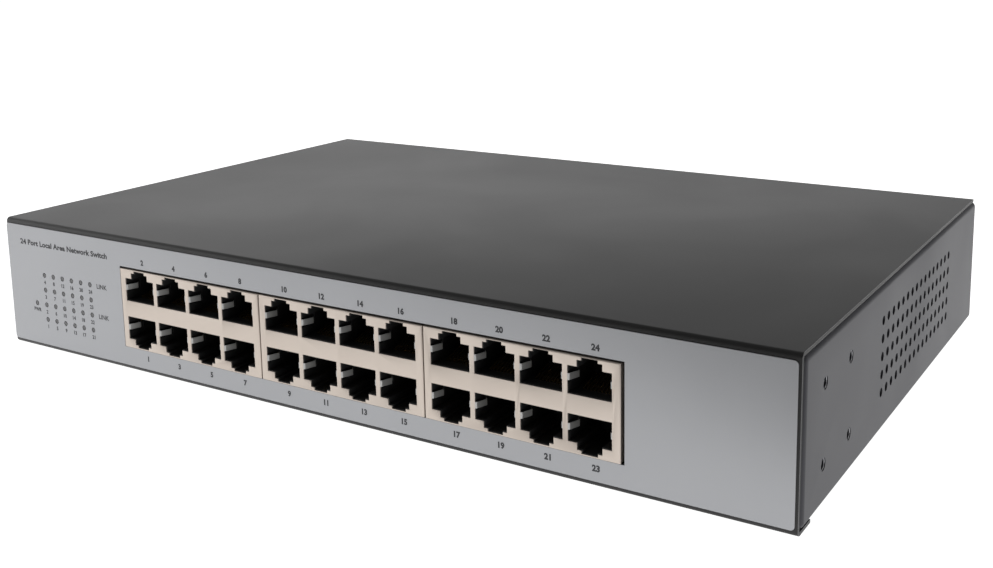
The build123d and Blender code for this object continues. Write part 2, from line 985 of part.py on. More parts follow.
def make_choke():
    """A square core on a base, and a coil on each of its two legs."""
    x = choke_x
    y = choke_y
    core_z = board_top + choke_base
    window_z = core_z + choke_yoke
    window_height = choke_height - 2 * choke_yoke
    core = centred(x, y, core_z, choke_width, choke_depth, choke_height)
    core -= centred(
        x, y, window_z, choke_width - 2 * choke_leg, choke_depth + 2, window_height
    )
    base = centred(x, y, board_top, choke_width, choke_depth + 1, choke_base)
    coil_z = window_z + window_height / 2 - choke_coil_height / 2
    coils = []
    for side in (-1, 1):
        coil = centred(
            x + side * choke_coil_offset, y, coil_z, choke_coil_width, choke_coil_depth,
            choke_coil_height,
        )
        coils.append(fillet(coil.edges().filter_by(Axis.Z), 2.0) - core)
    return core + base, coils


def make_line_capacitor():
    body = centred(
        power_middle_x + 8.0, line_capacitor_y, board_top, line_capacitor_width,
        line_capacitor_depth, line_capacitor_height,
    )
    return fillet(body.edges(), 0.6)


def make_fuse():
    x = mains_header_x - mains_header_width / 2 - fuse_width
    body = centred(
        x, mains_header_y, board_top, fuse_width, fuse_depth, fuse_height
    )
    return fillet(body.edges().filter_by(Axis.Z), fuse_depth / 3)


def make_mains_header():
    return centred(
        mains_header_x, mains_header_y, board_top, mains_header_width, mains_header_depth,
        mains_header_height,
    )


def make_insulator():
    sheet = block(
        power_board_left - insulator_margin,
        power_board_right + insulator_margin,
        power_board_front - insulator_margin,
        power_board_back + insulator_margin,
        floor_z,
        floor_z + insulator_thickness,
    )
    sheet -= [
        rod_z(x, y, floor_z - 1, floor_z + 2, post_flange_radius + 0.5)
        for x, y in power_board_holes()
    ]
    return sheet


# ---- mains inlet ---------------------------------------------------------------------
def inlet_outline(width, height, bevel):
    """A socket outline: flat at the bottom, with its two upper corners cut off."""
    x = inlet_x
    z = inlet_centre_z
    return [
        (x - width / 2, z - height / 2),
        (x + width / 2, z - height / 2),
        (x + width / 2, z + height / 2 - bevel),
        (x + width / 2 - bevel, z + height / 2),
        (x - width / 2 + bevel, z + height / 2),
        (x - width / 2, z + height / 2 - bevel),
    ]


def make_inlet():
    face = case_depth + inlet_flange_thickness
    flange = block(
        inlet_x - inlet_flange_width / 2,
        inlet_x + inlet_flange_width / 2,
        case_depth,
        face,
        inlet_centre_z - inlet_flange_height / 2,
        inlet_centre_z + inlet_flange_height / 2,
    )
    flange = fillet(flange.edges().filter_by(Axis.Y), inlet_flange_corner)
    body = prism_y(
        inlet_outline(inlet_body_width, inlet_body_height, inlet_bevel),
        case_depth - inlet_body_depth,
        case_depth,
    )
    recess_width = inlet_body_width - 2 * inlet_wall
    recess_height = inlet_body_height - 2 * inlet_wall
    recess = prism_y(
        inlet_outline(recess_width, recess_height, inlet_bevel - 0.6 * inlet_wall),
        case_depth - inlet_body_depth + inlet_wall,
        face + 1,
    )
    inlet = flange + body - recess
    for x in spread(2, inlet_screw_pitch, inlet_x):
        inlet -= rod_y(
            x, inlet_centre_z, case_depth - 1, face + 1, screw_radius + hole_free
        )
        sink = Pos(x, face - 0.75 * screw_radius, inlet_centre_z)
        inlet -= sink * Rot(-90, 0, 0) * Cone(screw_radius, 2.5 * screw_radius,
                                              1.5 * screw_radius)
    for x, z in blade_places():
        inlet -= centred(
            x, case_depth - inlet_body_depth, z - blade_height / 2, blade_thickness,
            4 * inlet_wall, blade_height,
        )
    return inlet


def blade_places():
    low = inlet_centre_z - blade_offset
    return [
        (inlet_x - blade_spacing / 2, low),
        (inlet_x + blade_spacing / 2, low),
        (inlet_x, inlet_centre_z + blade_offset),
    ]


def make_blades():
    wall_back = case_depth - inlet_body_depth
    blades = []
    for x, z in blade_places():
        blade = block(
            x - blade_thickness / 2,
            x + blade_thickness / 2,
            wall_back - 0.5,
            wall_back + blade_reach,
            z - blade_height / 2,
            z + blade_height / 2,
        )
        nose = edges_along(blade, Axis.Z, lambda c: c.Y > case_depth - 10)
        blade = fillet(nose, 0.45 * blade_thickness)
        spade = block(
            x - spade_thickness / 2,
            x + spade_thickness / 2,
            wall_back - spade_length,
            wall_back - 0.5,
            z - blade_height / 2,
            z + blade_height / 2,
        )
        blades.append(blade + spade)
    return blades


def make_inlet_screws():
    head = 1.5 * screw_radius
    face = case_depth + inlet_flange_thickness
    cone = Pos(0, 0, -head / 2) * Cone(screw_radius, 2.35 * screw_radius, head - 0.2)
    shank = Pos(0, 0, -5.0) * Cylinder(screw_radius, 7.0)
    screw = cone + shank
    for turn in (0, 90):
        screw -= Rot(0, 0, turn) * Box(2.6 * screw_radius, 0.5 * screw_radius, 1.4)
    return [
        facing_back(x, face, inlet_centre_z) * screw
        for x in spread(2, inlet_screw_pitch, inlet_x)
    ]


def hex_nut(x, z, back):
    nut = Plane.XZ.offset(-back) * Pos(x, z) * RegularPolygon(nut_radius, 6)
    nut = extrude(nut, amount=nut_height)
    return nut - rod_y(x, z, back - nut_height - 1, back + 1, screw_radius)


def make_inlet_nuts():
    return [
        hex_nut(x, inlet_centre_z, back_inner) for x in spread(2, inlet_screw_pitch, inlet_x)
    ]


# ---- earthing ------------------------------------------------------------------------
def make_earth_screw():
    length = tray_sheet + earth_ring_thickness + nut_height + 2.0
    screw = pan_screw(earth_screw_radius, earth_head_radius, earth_head_height,
                      length + earth_washer_thickness)
    return facing_back(earth_x, case_depth + earth_washer_thickness, earth_z) * screw


def make_earth_washer():
    washer = rod_y(
        earth_x, earth_z, case_depth, case_depth + earth_washer_thickness,
        earth_washer_radius,
    )
    for index in range(earth_washer_teeth):
        turn = math.radians(360 * index / earth_washer_teeth)
        washer -= rod_y(
            earth_x + (earth_washer_radius + 0.2) * math.cos(turn),
            earth_z + (earth_washer_radius + 0.2) * math.sin(turn),
            case_depth - 1,
            case_depth + 2,
            earth_tooth_radius,
        )
    return washer - rod_y(
        earth_x, earth_z, case_depth - 1, case_depth + 2, earth_screw_radius
    )


def make_earth_nut():
    back = back_inner - earth_ring_thickness
    nut = Plane.XZ.offset(-back) * Pos(earth_x, earth_z) * RegularPolygon(earth_nut_radius, 6)
    nut = extrude(nut, amount=nut_height)
    return nut - rod_y(
        earth_x, earth_z, back - nut_height - 1, back + 1, earth_screw_radius
    )


# ---- wires ---------------------------------------------------------------------------
def wire(points, radius, bend):
    """A round wire along straight runs joined by tangent arcs."""
    path = FilletPolyline(*points, radius=bend)
    start = path.edges().sort_by(lambda e: (e.center() - Vector(*points[0])).length)[0]
    along = (Vector(*points[1]) - Vector(*points[0])).normalized()
    section = Plane(origin=points[0], z_dir=along) * Circle(radius)
    return sweep(section, path=path)


def spade_sleeve(x, z):
    """An insulating sleeve pushed over one of the inlet's spades, and its front end."""
    back = spade_end + sleeve_over
    front = back - sleeve_length
    sleeve = block(
        x - sleeve_half_width, x + sleeve_half_width, front, back,
        z - sleeve_half_height, z + sleeve_half_height,
    )
    sleeve = fillet(sleeve.edges().filter_by(Axis.Y), 0.3)
    slot = centred(
        x, spade_end, z - blade_height / 2, spade_thickness, 2 * sleeve_over, blade_height
    )
    return sleeve - slot, front


def make_mains_leads():
    """Line and neutral, from the inlet's spades down to the power board's header."""
    leads = []
    y = mains_header_y
    top = board_top + mains_header_height
    for side, (x, z) in zip((-1, 1), blade_places()[:2]):
        sleeve, front = spade_sleeve(x, z)
        drop_x = mains_header_x + side * mains_header_width / 4
        route = [(x, front, z), (drop_x, y, z), (drop_x, y, top)]
        leads += [sleeve, wire(route, mains_wire_radius, mains_wire_bend)]
    return leads


def make_earth_lead():
    x, z = blade_places()[2]
    sleeve, front = spade_sleeve(x, z)
    ring_y = back_inner - earth_ring_thickness
    ring = rod_y(earth_x, earth_z, ring_y, back_inner, earth_washer_radius)
    barrel_x = earth_x + 2 * earth_barrel_length
    low = earth_z - earth_barrel_half
    high = earth_z + earth_barrel_half
    ring += block(earth_x, barrel_x, ring_y, back_inner, low, high)
    ring += block(
        barrel_x - earth_barrel_length, barrel_x, ring_y - earth_barrel_depth, back_inner,
        low, high,
    )
    ring -= rod_y(earth_x, earth_z, ring_y - 1, back_inner + 1, earth_screw_radius)
    lead_y = back_inner - mains_wire_radius - slide_gap
    route = [
        (x, front, z),
        (x, front - 7.0, z),
        (x - 20.0, front - 4.0, z + 2.0),
        (barrel_x + 6.0, lead_y, earth_z),
        (barrel_x, lead_y, earth_z),
    ]
    return sleeve, ring, wire(route, mains_wire_radius, earth_wire_bend)


def make_signal_cable():
    """The low-voltage wires, from the power supply's plug over to the main board's plug."""
    top = board_top + header_floor + plug_height
    crown = top + signal_crown
    wires = []
    for step in spread(signal_wire_count, signal_wire_pitch):
        route = [
            (power_header_x + step, power_header_y, top),
            (power_header_x + step, power_header_y, crown),
            (main_header_x + step, main_header_y, crown),
            (main_header_x + step, main_header_y, top),
        ]
        wires.append(wire(route, signal_wire_radius, signal_wire_bend))
    return wires


# ---- writing the nodes ---------------------------------------------------------------
def save_case():
    save("top_cover", make_cover())
    save("front_film", make_film())
    save("base_tray", make_tray())
    save("cover_screws", *make_cover_screws())


def save_ports():
    for module in range(module_count):
        number = str(module + 1)
        shield, leaves = make_shield(module)
        save("port_shield_" + number, shield)
        save("port_side_springs_" + number, *leaves)
        save("port_housing_" + number, make_housing(module))
        save("port_inserts_" + number, *make_inserts(module))
        save("port_contacts_" + number, *make_contacts(module))


def save_lights():
    save("light_holder", make_light_holder())
    save("port_lights", *[light_pipe(x, z) for x, z in light_places()])
    save("power_light", light_pipe(*power_light_place))


def save_main_board():
    holes = main_board_holes()
    save(
        "main_board",
        make_board(main_board_x0, main_board_x1, board_front, main_board_back, holes),
    )
    save("main_board_posts", *make_posts(holes, floor_z))
    save("main_board_screws", *make_board_screws(holes))
    save("switch_chip", make_chip())
    save("chip_heat_sink", make_chip_sink())
    save("line_transformers", *make_magnetics())
    save("filter_capacitors", *make_filter_cans())
    save("clock_crystal", make_crystal())
    save("power_inductor", make_coil())
    save("voltage_regulator", make_regulator())
    save("main_board_header", make_header(main_header_x, main_header_y))


def save_power_supply():
    holes = power_board_holes()
    save(
        "power_board",
        make_board(
            power_board_left, power_board_right, power_board_front, power_board_back, holes
        ),
    )
    save("power_board_posts", *make_posts(holes, floor_z))
    save("power_board_screws", *make_board_screws(holes))
    save("insulating_sheet", make_insulator())
    core, winding = make_transformer()
    save("transformer_core", core)
    save("transformer_winding", *winding)
    save("bulk_capacitor", make_bulk_can())
    save("output_capacitors", *make_output_cans())
    save("heat_plate", make_heat_plate())
    save("power_transistor", make_transistor())
    frame, coils = make_choke()
    save("choke_core", frame)
    save("choke_windings", *coils)
    save("line_capacitor", make_line_capacitor())
    save("mains_fuse", make_fuse())
    save("mains_header", make_mains_header())
    save("power_board_header", make_header(power_header_x, power_header_y))


def save_inlet_and_wires():
    save("mains_inlet", make_inlet())
    save("inlet_blades", *make_blades())
    save("inlet_screws", *make_inlet_screws())
    save("inlet_nuts", *make_inlet_nuts())
    save("earth_screw", make_earth_screw())
    save("earth_washer", make_earth_washer())
    save("earth_nut", make_earth_nut())
    save("mains_leads", *make_mains_leads())
    save("earth_lead", *make_earth_lead())
    save("signal_cable", *make_signal_cable())
    save(
        "signal_plugs",
        make_header_plug(power_header_x, power_header_y),
        make_header_plug(main_header_x, main_header_y),
    )


def main():
    os.makedirs("parts", exist_ok=True)
    save_case()
    save_ports()
    save_lights()
    save_main_board()
    save_power_supply()
    save_inlet_and_wires()


main()
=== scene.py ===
# %% [markdown]
# # A rack-mount network switch
# The object is a flat steel box with 24 network sockets in its front. Its real sizes come from
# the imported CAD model, which is loaded here as a fixed frame. Everything below adds looks to that
# frame: finishes, printing, and the small things that a sheet-metal drawing leaves out.

# %% Load the frame
import json
import math

import bmesh
import bpy
from mathutils import Matrix, Quaternion, Vector

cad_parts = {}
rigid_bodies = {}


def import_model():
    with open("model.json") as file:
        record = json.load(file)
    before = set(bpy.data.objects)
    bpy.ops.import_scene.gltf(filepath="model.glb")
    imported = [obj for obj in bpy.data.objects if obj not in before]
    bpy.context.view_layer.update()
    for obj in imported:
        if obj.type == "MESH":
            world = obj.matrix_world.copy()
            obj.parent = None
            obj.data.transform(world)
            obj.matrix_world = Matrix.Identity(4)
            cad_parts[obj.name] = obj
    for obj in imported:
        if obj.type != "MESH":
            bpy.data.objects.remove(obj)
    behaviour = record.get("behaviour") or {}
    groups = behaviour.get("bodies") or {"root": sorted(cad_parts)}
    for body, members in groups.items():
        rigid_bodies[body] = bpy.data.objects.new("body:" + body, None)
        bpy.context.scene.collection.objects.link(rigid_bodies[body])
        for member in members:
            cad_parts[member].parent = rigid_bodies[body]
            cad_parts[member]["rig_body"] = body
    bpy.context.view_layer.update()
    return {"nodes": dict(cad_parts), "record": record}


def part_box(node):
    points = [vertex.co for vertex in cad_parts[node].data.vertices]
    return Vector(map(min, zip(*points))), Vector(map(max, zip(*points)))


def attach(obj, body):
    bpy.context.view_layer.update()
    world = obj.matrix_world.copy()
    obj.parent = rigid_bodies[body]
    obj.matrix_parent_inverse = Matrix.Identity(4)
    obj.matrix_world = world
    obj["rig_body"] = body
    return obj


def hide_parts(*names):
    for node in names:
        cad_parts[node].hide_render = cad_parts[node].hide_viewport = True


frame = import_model()
nodes = frame["nodes"]
MM = 0.001

# %% [markdown]
# ## Camera
# The camera looks slightly down on the front, from the right. A lens of about 43 mm keeps the long
# box from looking stretched. The lens is shifted a little, as a view camera's is, so that the
# vertical edges stay nearly parallel.

# %% Camera
camera_place = Vector((221.1, -339.39, 135.76)) * MM
camera_heading = math.radians(31.512)
camera_down = math.radians(10.069)
camera_roll = math.radians(-0.780)

camera_data = bpy.data.cameras.new("studio_camera")
camera_data.lens = 43.709
camera_data.shift_x = -0.0314
camera_data.shift_y = -0.1349
camera_data.clip_start = 0.01
camera = bpy.data.objects.new("studio_camera", camera_data)
forward = Vector((
    -math.sin(camera_heading) * math.cos(camera_down),
    math.cos(camera_heading) * math.cos(camera_down),
    -math.sin(camera_down),
))
turn = forward.to_track_quat("-Z", "Y") @ Quaternion((0, 0, 1), camera_roll)
camera.location = camera_place
camera.rotation_euler = turn.to_euler()
bpy.context.scene.collection.objects.link(camera)
bpy.context.scene.camera = camera
print("camera looks along", [round(v, 3) for v in forward])

# %% [markdown]
# ## Floor and light
# The box stands on a plain white sweep. Most of the light is soft and comes from a bright, low wall
# behind the box, so the black top turns grey where the eye skims over it. Overhead and front right
# stay dark, as in a real studio, so the black paint stays black where it faces the camera. A lamp
# on each side adds a little shape. The paper glows less further out in front, and the silver film
# mirrors that: its lower edge is bright, and its upper edge is darker. Still further out it glows
# again, for when the cover is slid forward. Seen from high up, the film then still looks dark,
# because it mirrors the dimmer paper close in front of it.

# %% Floor
floor_mesh = bpy.data.meshes.new("studio_floor")
corners = [(-0.9, -0.9, 0), (0.9, -0.9, 0), (0.9, 0.9, 0), (-0.9, 0.9, 0)]
floor_mesh.from_pydata(corners, [], [(0, 1, 2, 3)])
studio_floor = bpy.data.objects.new("studio_floor", floor_mesh)
bpy.context.scene.collection.objects.link(studio_floor)
paper = bpy.data.materials.new("white_paper")
paper.use_nodes = True
paper_tree = paper.node_tree
paper_shader = paper_tree.nodes["Principled BSDF"]
paper_shader.inputs["Base Color"].default_value = (0.9, 0.9, 0.9, 1)
paper_shader.inputs["Roughness"].default_value = 0.9
paper_shader.inputs["Specular IOR Level"].default_value = 0.0
paper_shader.inputs["Emission Color"].default_value = (1, 1, 1, 1)
paper_place = paper_tree.nodes.new("ShaderNodeTexCoord")
paper_out = paper_tree.nodes.new("ShaderNodeVectorMath")
paper_out.operation = "DOT_PRODUCT"
paper_out.inputs[1].default_value = (0.35, -0.94, 0)
paper_tree.links.new(paper_place.outputs["Object"], paper_out.inputs[0])


def paper_step(near, far, low, high):
    """How much the paper glows, between two distances out in front."""
    step = paper_tree.nodes.new("ShaderNodeMapRange")
    step.interpolation_type = "SMOOTHSTEP"
    for label, value in (("From Min", near), ("From Max", far), ("To Min", low), ("To Max", high)):
        step.inputs[label].default_value = value
    paper_tree.links.new(paper_out.outputs["Value"], step.inputs["Value"])
    return step.outputs["Result"]


def brighter(first, second):
    node = paper_tree.nodes.new("ShaderNodeMath")
    node.operation = "MAXIMUM"
    paper_tree.links.new(first, node.inputs[0])
    paper_tree.links.new(second, node.inputs[1])
    return node.outputs[0]


paper_seen = paper_tree.nodes.new("ShaderNodeLightPath")
paper_light = brighter(paper_step(0.16, 0.214, 1.0, 0.0), paper_step(0.27, 0.36, 0.0, 0.7))
seen_glow = 0.75
paper_white = paper_tree.nodes.new("ShaderNodeMath")
paper_white.operation = "MULTIPLY"
paper_white.inputs[1].default_value = seen_glow
paper_tree.links.new(paper_seen.outputs["Is Camera Ray"], paper_white.inputs[0])
paper_light = brighter(paper_light, paper_white.outputs[0])
paper_tree.links.new(paper_light, paper_shader.inputs["Emission Strength"])
floor_mesh.materials.append(paper)
print("floor:", floor_mesh.name)

# %% Studio light
world = bpy.data.worlds.new("soft_studio")
bpy.context.scene.world = world
world.use_nodes = True
sky = world.node_tree
sky.nodes.clear()


def sky_node(kind, **settings):
    node = sky.nodes.new(kind)
    for name, value in settings.items():
        setattr(node, name, value)
    return node


direction = sky_node("ShaderNodeTexCoord")


def glow(toward, start, full, low, high):
    """A smooth mask on the direction of the light: low away from toward, high along it."""
    along = sky_node("ShaderNodeVectorMath", operation="DOT_PRODUCT")
    along.inputs[1].default_value = Vector(toward).normalized()
    mask = sky_node("ShaderNodeMapRange", interpolation_type="SMOOTHSTEP")
    for label, value in (("From Min", start), ("From Max", full), ("To Min", low), ("To Max", high)):
        mask.inputs[label].default_value = value
    sky.links.new(direction.outputs["Generated"], along.inputs[0])
    sky.links.new(along.outputs["Value"], mask.inputs["Value"])
    return mask.outputs["Result"]


def combined(first, second, operation):
    node = sky_node("ShaderNodeMath", operation=operation)
    sky.links.new(first, node.inputs[0])
    sky.links.new(second, node.inputs[1])
    return node.outputs[0]


back_wall = glow((-0.85, 0.75, 0.05), 0.3, 1.0, 0.0, 1.3)
below_top = glow((0, 0, 1), 0.48, 0.78, 1.0, 0.04)
wall_light = combined(back_wall, below_top, "MULTIPLY")
room = combined(wall_light, glow((0.35, -0.92, 0), 0, 0.8, 0.32, 0.14), "ADD")
light_path = sky_node("ShaderNodeLightPath")
backdrop_glow = 1.3
seen = sky_node("ShaderNodeMix", data_type="FLOAT")
seen.inputs["B"].default_value = backdrop_glow
background = sky_node("ShaderNodeBackground")
out = sky_node("ShaderNodeOutputWorld")
sky.links.new(light_path.outputs["Is Camera Ray"], seen.inputs["Factor"])
sky.links.new(room, seen.inputs["A"])
sky.links.new(seen.outputs["Result"], background.inputs["Strength"])
sky.links.new(background.outputs[0], out.inputs[0])


def soft_lamp(name, place, target, width, height, power):
    """A large rectangular lamp that faces the target."""
    lamp = bpy.data.lights.new(name, "AREA")
    lamp.shape = "RECTANGLE"
    lamp.size = width
    lamp.size_y = height
    lamp.energy = power
    holder = bpy.data.objects.new(name, lamp)
    aim = Vector(target) - Vector(place)
    holder.location = place
    holder.rotation_euler = aim.to_track_quat("-Z", "Y").to_euler()
    bpy.context.scene.collection.objects.link(holder)
    return holder


box_middle = (0, 0, 0.02)
soft_lamp("left_lamp", (-1.2, -0.75, 0.3), box_middle, 1.0, 0.6, 3.5)
soft_lamp("right_lamp", (1.4, 0.5, 0.4), box_middle, 0.8, 0.6, 2)
bpy.context.scene.view_settings.view_transform = "Standard"

# %% [markdown]
# ## Surface effects that several finishes share
# Paint, moulded plastic and rolled metal each have a fine texture of their own. Each texture is a
# node group with named inputs, built once. A group gives only masks, values and normals. Every
# finish feeds them to its own Principled BSDF, so the effect is the same everywhere and only its
# numbers change.

# %% Helpers for node trees
FLOAT = "NodeSocketFloat"
VECTOR = "NodeSocketVector"
GEOMETRY = "NodeSocketGeometry"


def shader_group(name, inputs, outputs):
    """An empty shader group with named number inputs, and its end nodes."""
    group = bpy.data.node_groups.new(name, "ShaderNodeTree")
    for label, value in inputs.items():
        socket = group.interface.new_socket(label, in_out="INPUT", socket_type=FLOAT)
        socket.default_value = value
    for label, kind in outputs.items():
        group.interface.new_socket(label, in_out="OUTPUT", socket_type=kind)
    return group, group.nodes.new("NodeGroupInput"), group.nodes.new("NodeGroupOutput")


def add(tree, kind, links=None, **settings):
    """Adds a node, sets its properties, then links or sets its inputs by name or number."""
    node = tree.nodes.new(kind)
    for name, value in settings.items():
        setattr(node, name, value)
    for key, value in (links or {}).items():
        if isinstance(value, bpy.types.NodeSocket):
            tree.links.new(value, node.inputs[key])
        else:
            node.inputs[key].default_value = value
    return node


print("helpers ready")

# %% Grain, streaks and handling marks
def end_relief(group, start, end, noise):
    """Ends a texture group: the noise is its value, and the height of its bumps."""
    bump = add(group, "ShaderNodeBump", {
        "Strength": start.outputs["Strength"],
        "Distance": start.outputs["Depth"],
        "Height": noise.outputs[0],
    })
    group.links.new(noise.outputs[0], end.inputs["Value"])
    group.links.new(bump.outputs["Normal"], end.inputs["Normal"])
    return group


def make_grain():
    """Fine bumps in every direction, as on powder paint or a spark-eroded mould."""
    group, start, end = shader_group(
        "surface_grain",
        {"Grains per metre": 1200.0, "Depth": 0.00002, "Sharpness": 0.5, "Strength": 0.4},
        {"Value": FLOAT, "Normal": VECTOR},
    )
    place = add(group, "ShaderNodeTexCoord")
    noise = add(group, "ShaderNodeTexNoise", {
        "Vector": place.outputs["Object"],
        "Scale": start.outputs["Grains per metre"],
        "Roughness": start.outputs["Sharpness"],
        "Detail": 2.0,
    })
    return end_relief(group, start, end, noise)


def make_streaks():
    """Long faint lines along X, as on rolled or brushed sheet."""
    group, start, end = shader_group(
        "rolled_streaks",
        {"Lines per metre": 3000.0, "Stretch": 40.0, "Depth": 0.00001, "Strength": 0.3},
        {"Value": FLOAT, "Normal": VECTOR},
    )
    place = add(group, "ShaderNodeTexCoord")
    thin = add(group, "ShaderNodeMath", {0: 1.0, 1: start.outputs["Stretch"]}, operation="DIVIDE")
    stretch = add(group, "ShaderNodeCombineXYZ", {"X": thin.outputs[0], "Y": 1.0, "Z": 1.0})
    scaled = add(group, "ShaderNodeVectorMath", {
        0: place.outputs["Object"], 1: stretch.outputs[0],
    }, operation="MULTIPLY")
    noise = add(group, "ShaderNodeTexNoise", {
        "Vector": scaled.outputs[0], "Scale": start.outputs["Lines per metre"], "Detail": 3.0,
    })
    return end_relief(group, start, end, noise)


def make_handling():
    """A slow uneven mask, as left by wiping, finger marks and a little dust."""
    group, start, end = shader_group(
        "handling_marks", {"Patches per metre": 14.0, "Contrast": 0.5}, {"Mask": FLOAT},
    )
    place = add(group, "ShaderNodeTexCoord")
    slow = add(group, "ShaderNodeTexNoise", {
        "Vector": place.outputs["Object"], "Scale": start.outputs["Patches per metre"],
        "Detail": 4.0, "Distortion": 0.6,
    })
    low = add(group, "ShaderNodeMath", {0: 0.5, 1: start.outputs["Contrast"]},
              operation="SUBTRACT")
    high = add(group, "ShaderNodeMath", {0: 0.5, 1: start.outputs["Contrast"]}, operation="ADD")
    mask = add(group, "ShaderNodeMapRange", {
        "Value": slow.outputs[0], "From Min": low.outputs[0], "From Max": high.outputs[0],
    })
    group.links.new(mask.outputs["Result"], end.inputs["Mask"])
    return group


grain_group, streak_group, handling_group = make_grain(), make_streaks(), make_handling()
print("groups:", grain_group.name, streak_group.name, handling_group.name)

# %% [markdown]
# ## One recipe for a finish
# Most finishes here are a base colour that wanders a little, a roughness that wanders with it, and
# a fine bump. `finish` builds that: two close colours mixed by the handling mask, and a texture
# group for the normal. The numbers that don't change over the surface are set on the Principled
# BSDF itself.

# %% Finish recipe
finishes = {}


def grouped(tree, group, values):
    node = tree.nodes.new("ShaderNodeGroup")
    node.node_tree = group
    for label, value in values.items():
        node.inputs[label].default_value = value
    return node


def new_finish(name):
    """A new material, its tree and its Principled BSDF."""
    made = bpy.data.materials.new(name)
    made.use_nodes = True
    finishes[name] = made
    return made, made.node_tree, made.node_tree.nodes["Principled BSDF"]


def mixed(tree, factor, first, second):
    """The output of a node that mixes two colours."""
    node = add(tree, "ShaderNodeMix", {"Factor": factor}, data_type="RGBA")
    node.inputs[6].default_value = (*first, 1)
    node.inputs[7].default_value = (*second, 1)
    return node.outputs[2]


def finish(name, dark, light, rough, texture, values, **plain):
    """A finish with two close colours, two roughness values and one texture group."""
    made, tree, shader = new_finish(name)
    marks = grouped(tree, handling_group, {"Patches per metre": 14.0, "Contrast": 0.22})
    colour = mixed(tree, marks.outputs["Mask"], dark, light)
    tree.links.new(colour, shader.inputs["Base Color"])
    shine = add(tree, "ShaderNodeMapRange", {
        "Value": marks.outputs["Mask"], "To Min": rough[0], "To Max": rough[1],
    })
    tree.links.new(shine.outputs["Result"], shader.inputs["Roughness"])
    relief = grouped(tree, texture, values)
    tree.links.new(relief.outputs["Normal"], shader.inputs["Normal"])
    for label, value in plain.items():
        shader.inputs[label.replace("_", " ")].default_value = value
    return made


print("recipe ready")

# %% [markdown]
# ## Painted and printed sheet metal
# The cover is steel with black powder paint. Seen at a low angle its top reflects the pale room, so
# it looks grey, while its front edge stays black. The tray is a grey-blue coated sheet. A thin line of
# bright metal on the rounding of the cover's side edges is a painted highlight. The front carries a
# printed plastic film with a silver ink, which is a little metallic.

# %% Sheet metal finishes
powder = {"Grains per metre": 1500.0, "Depth": 0.00003, "Strength": 0.35}
finish("cover_paint_black", (0.012, 0.0115, 0.0115), (0.016, 0.0155, 0.0155), (0.5, 0.56),
       grain_group, powder, Specular_IOR_Level=0.45)
finish("tray_coat_grey", (0.04, 0.04, 0.047), (0.046, 0.046, 0.053), (0.42, 0.5),
       grain_group, {"Grains per metre": 2600.0, "Depth": 0.00001, "Strength": 0.3},
       Metallic=0.25, Specular_IOR_Level=0.4)
# Bright metal for the rounding of the cover's side edges: a painted highlight along the edge.
finish("painted_edge_highlight", (0.26, 0.26, 0.26), (0.36, 0.36, 0.37), (0.35, 0.45),
       streak_group, {}, Metallic=0.9)
finish("film_silver_ink", (0.365, 0.37, 0.385), (0.4, 0.405, 0.42), (0.36, 0.4),
       grain_group, {"Grains per metre": 5200.0, "Depth": 0.000008, "Strength": 0.25},
       Metallic=0.6, Specular_IOR_Level=0.4)
finish("printing_ink", (0.02, 0.02, 0.024), (0.03, 0.03, 0.034), (0.45, 0.55),
       grain_group, {"Grains per metre": 6000.0, "Strength": 0.1})
print("sheet finishes:", sorted(finishes))

# %% [markdown]
# ## Metals and plastics of the parts
# The shields round the sockets are nickel-plated and slightly warm. The spring leaves are bare
# spring steel and shine more. The sockets are black glass-filled nylon, which is matt from its
# mould. Screws are zinc-plated or blackened.

# %% Metal and plastic finishes
rolled = {"Lines per metre": 2600.0, "Stretch": 30.0, "Depth": 0.00001, "Strength": 0.25}
mould = {"Grains per metre": 4200.0, "Depth": 0.00001, "Strength": 0.3}
finish("nickel_plate", (0.56, 0.49, 0.43), (0.6, 0.53, 0.47), (0.38, 0.46), streak_group, rolled,
       Metallic=0.75)
finish("spring_steel", (0.42, 0.42, 0.41), (0.5, 0.5, 0.49), (0.34, 0.42), streak_group, rolled,
       Metallic=0.7)
finish("gold_contact", (0.72, 0.52, 0.2), (0.8, 0.6, 0.28), (0.22, 0.3), streak_group, rolled,
       Metallic=1.0)
finish("black_nylon", (0.008, 0.008, 0.0085), (0.012, 0.012, 0.0125), (0.5, 0.6), grain_group, mould,
       Specular_IOR_Level=0.35)
finish("smoked_lens", (0.11, 0.11, 0.112), (0.14, 0.14, 0.142), (0.25, 0.35), grain_group,
       {"Strength": 0.05})
finish("zinc_plate", (0.5, 0.51, 0.53), (0.62, 0.62, 0.64), (0.32, 0.42), grain_group,
       {"Grains per metre": 3000.0, "Strength": 0.2}, Metallic=0.95)
finish("black_oxide", (0.02, 0.02, 0.022), (0.03, 0.03, 0.032), (0.35, 0.45), grain_group,
       {"Grains per metre": 3000.0, "Strength": 0.2}, Metallic=0.6)
finish("tin_plate", (0.66, 0.67, 0.69), (0.74, 0.75, 0.77), (0.24, 0.34), grain_group,
       {"Grains per metre": 2500.0, "Strength": 0.2}, Metallic=1.0)
finish("brushed_aluminium", (0.6, 0.61, 0.62), (0.68, 0.69, 0.7), (0.34, 0.42), streak_group,
       rolled, Metallic=1.0)
finish("black_anodised", (0.02, 0.02, 0.022), (0.028, 0.028, 0.03), (0.4, 0.5), streak_group,
       rolled, Metallic=0.7)
finish("white_nylon", (0.72, 0.7, 0.64), (0.78, 0.76, 0.7), (0.4, 0.5), grain_group, mould)
finish("chip_epoxy", (0.018, 0.018, 0.019), (0.026, 0.026, 0.027), (0.5, 0.62), grain_group, mould)
finish("ferrite_grey", (0.05, 0.05, 0.052), (0.075, 0.075, 0.077), (0.55, 0.7), grain_group,
       {"Grains per metre": 2600.0, "Depth": 0.00004, "Strength": 0.5})
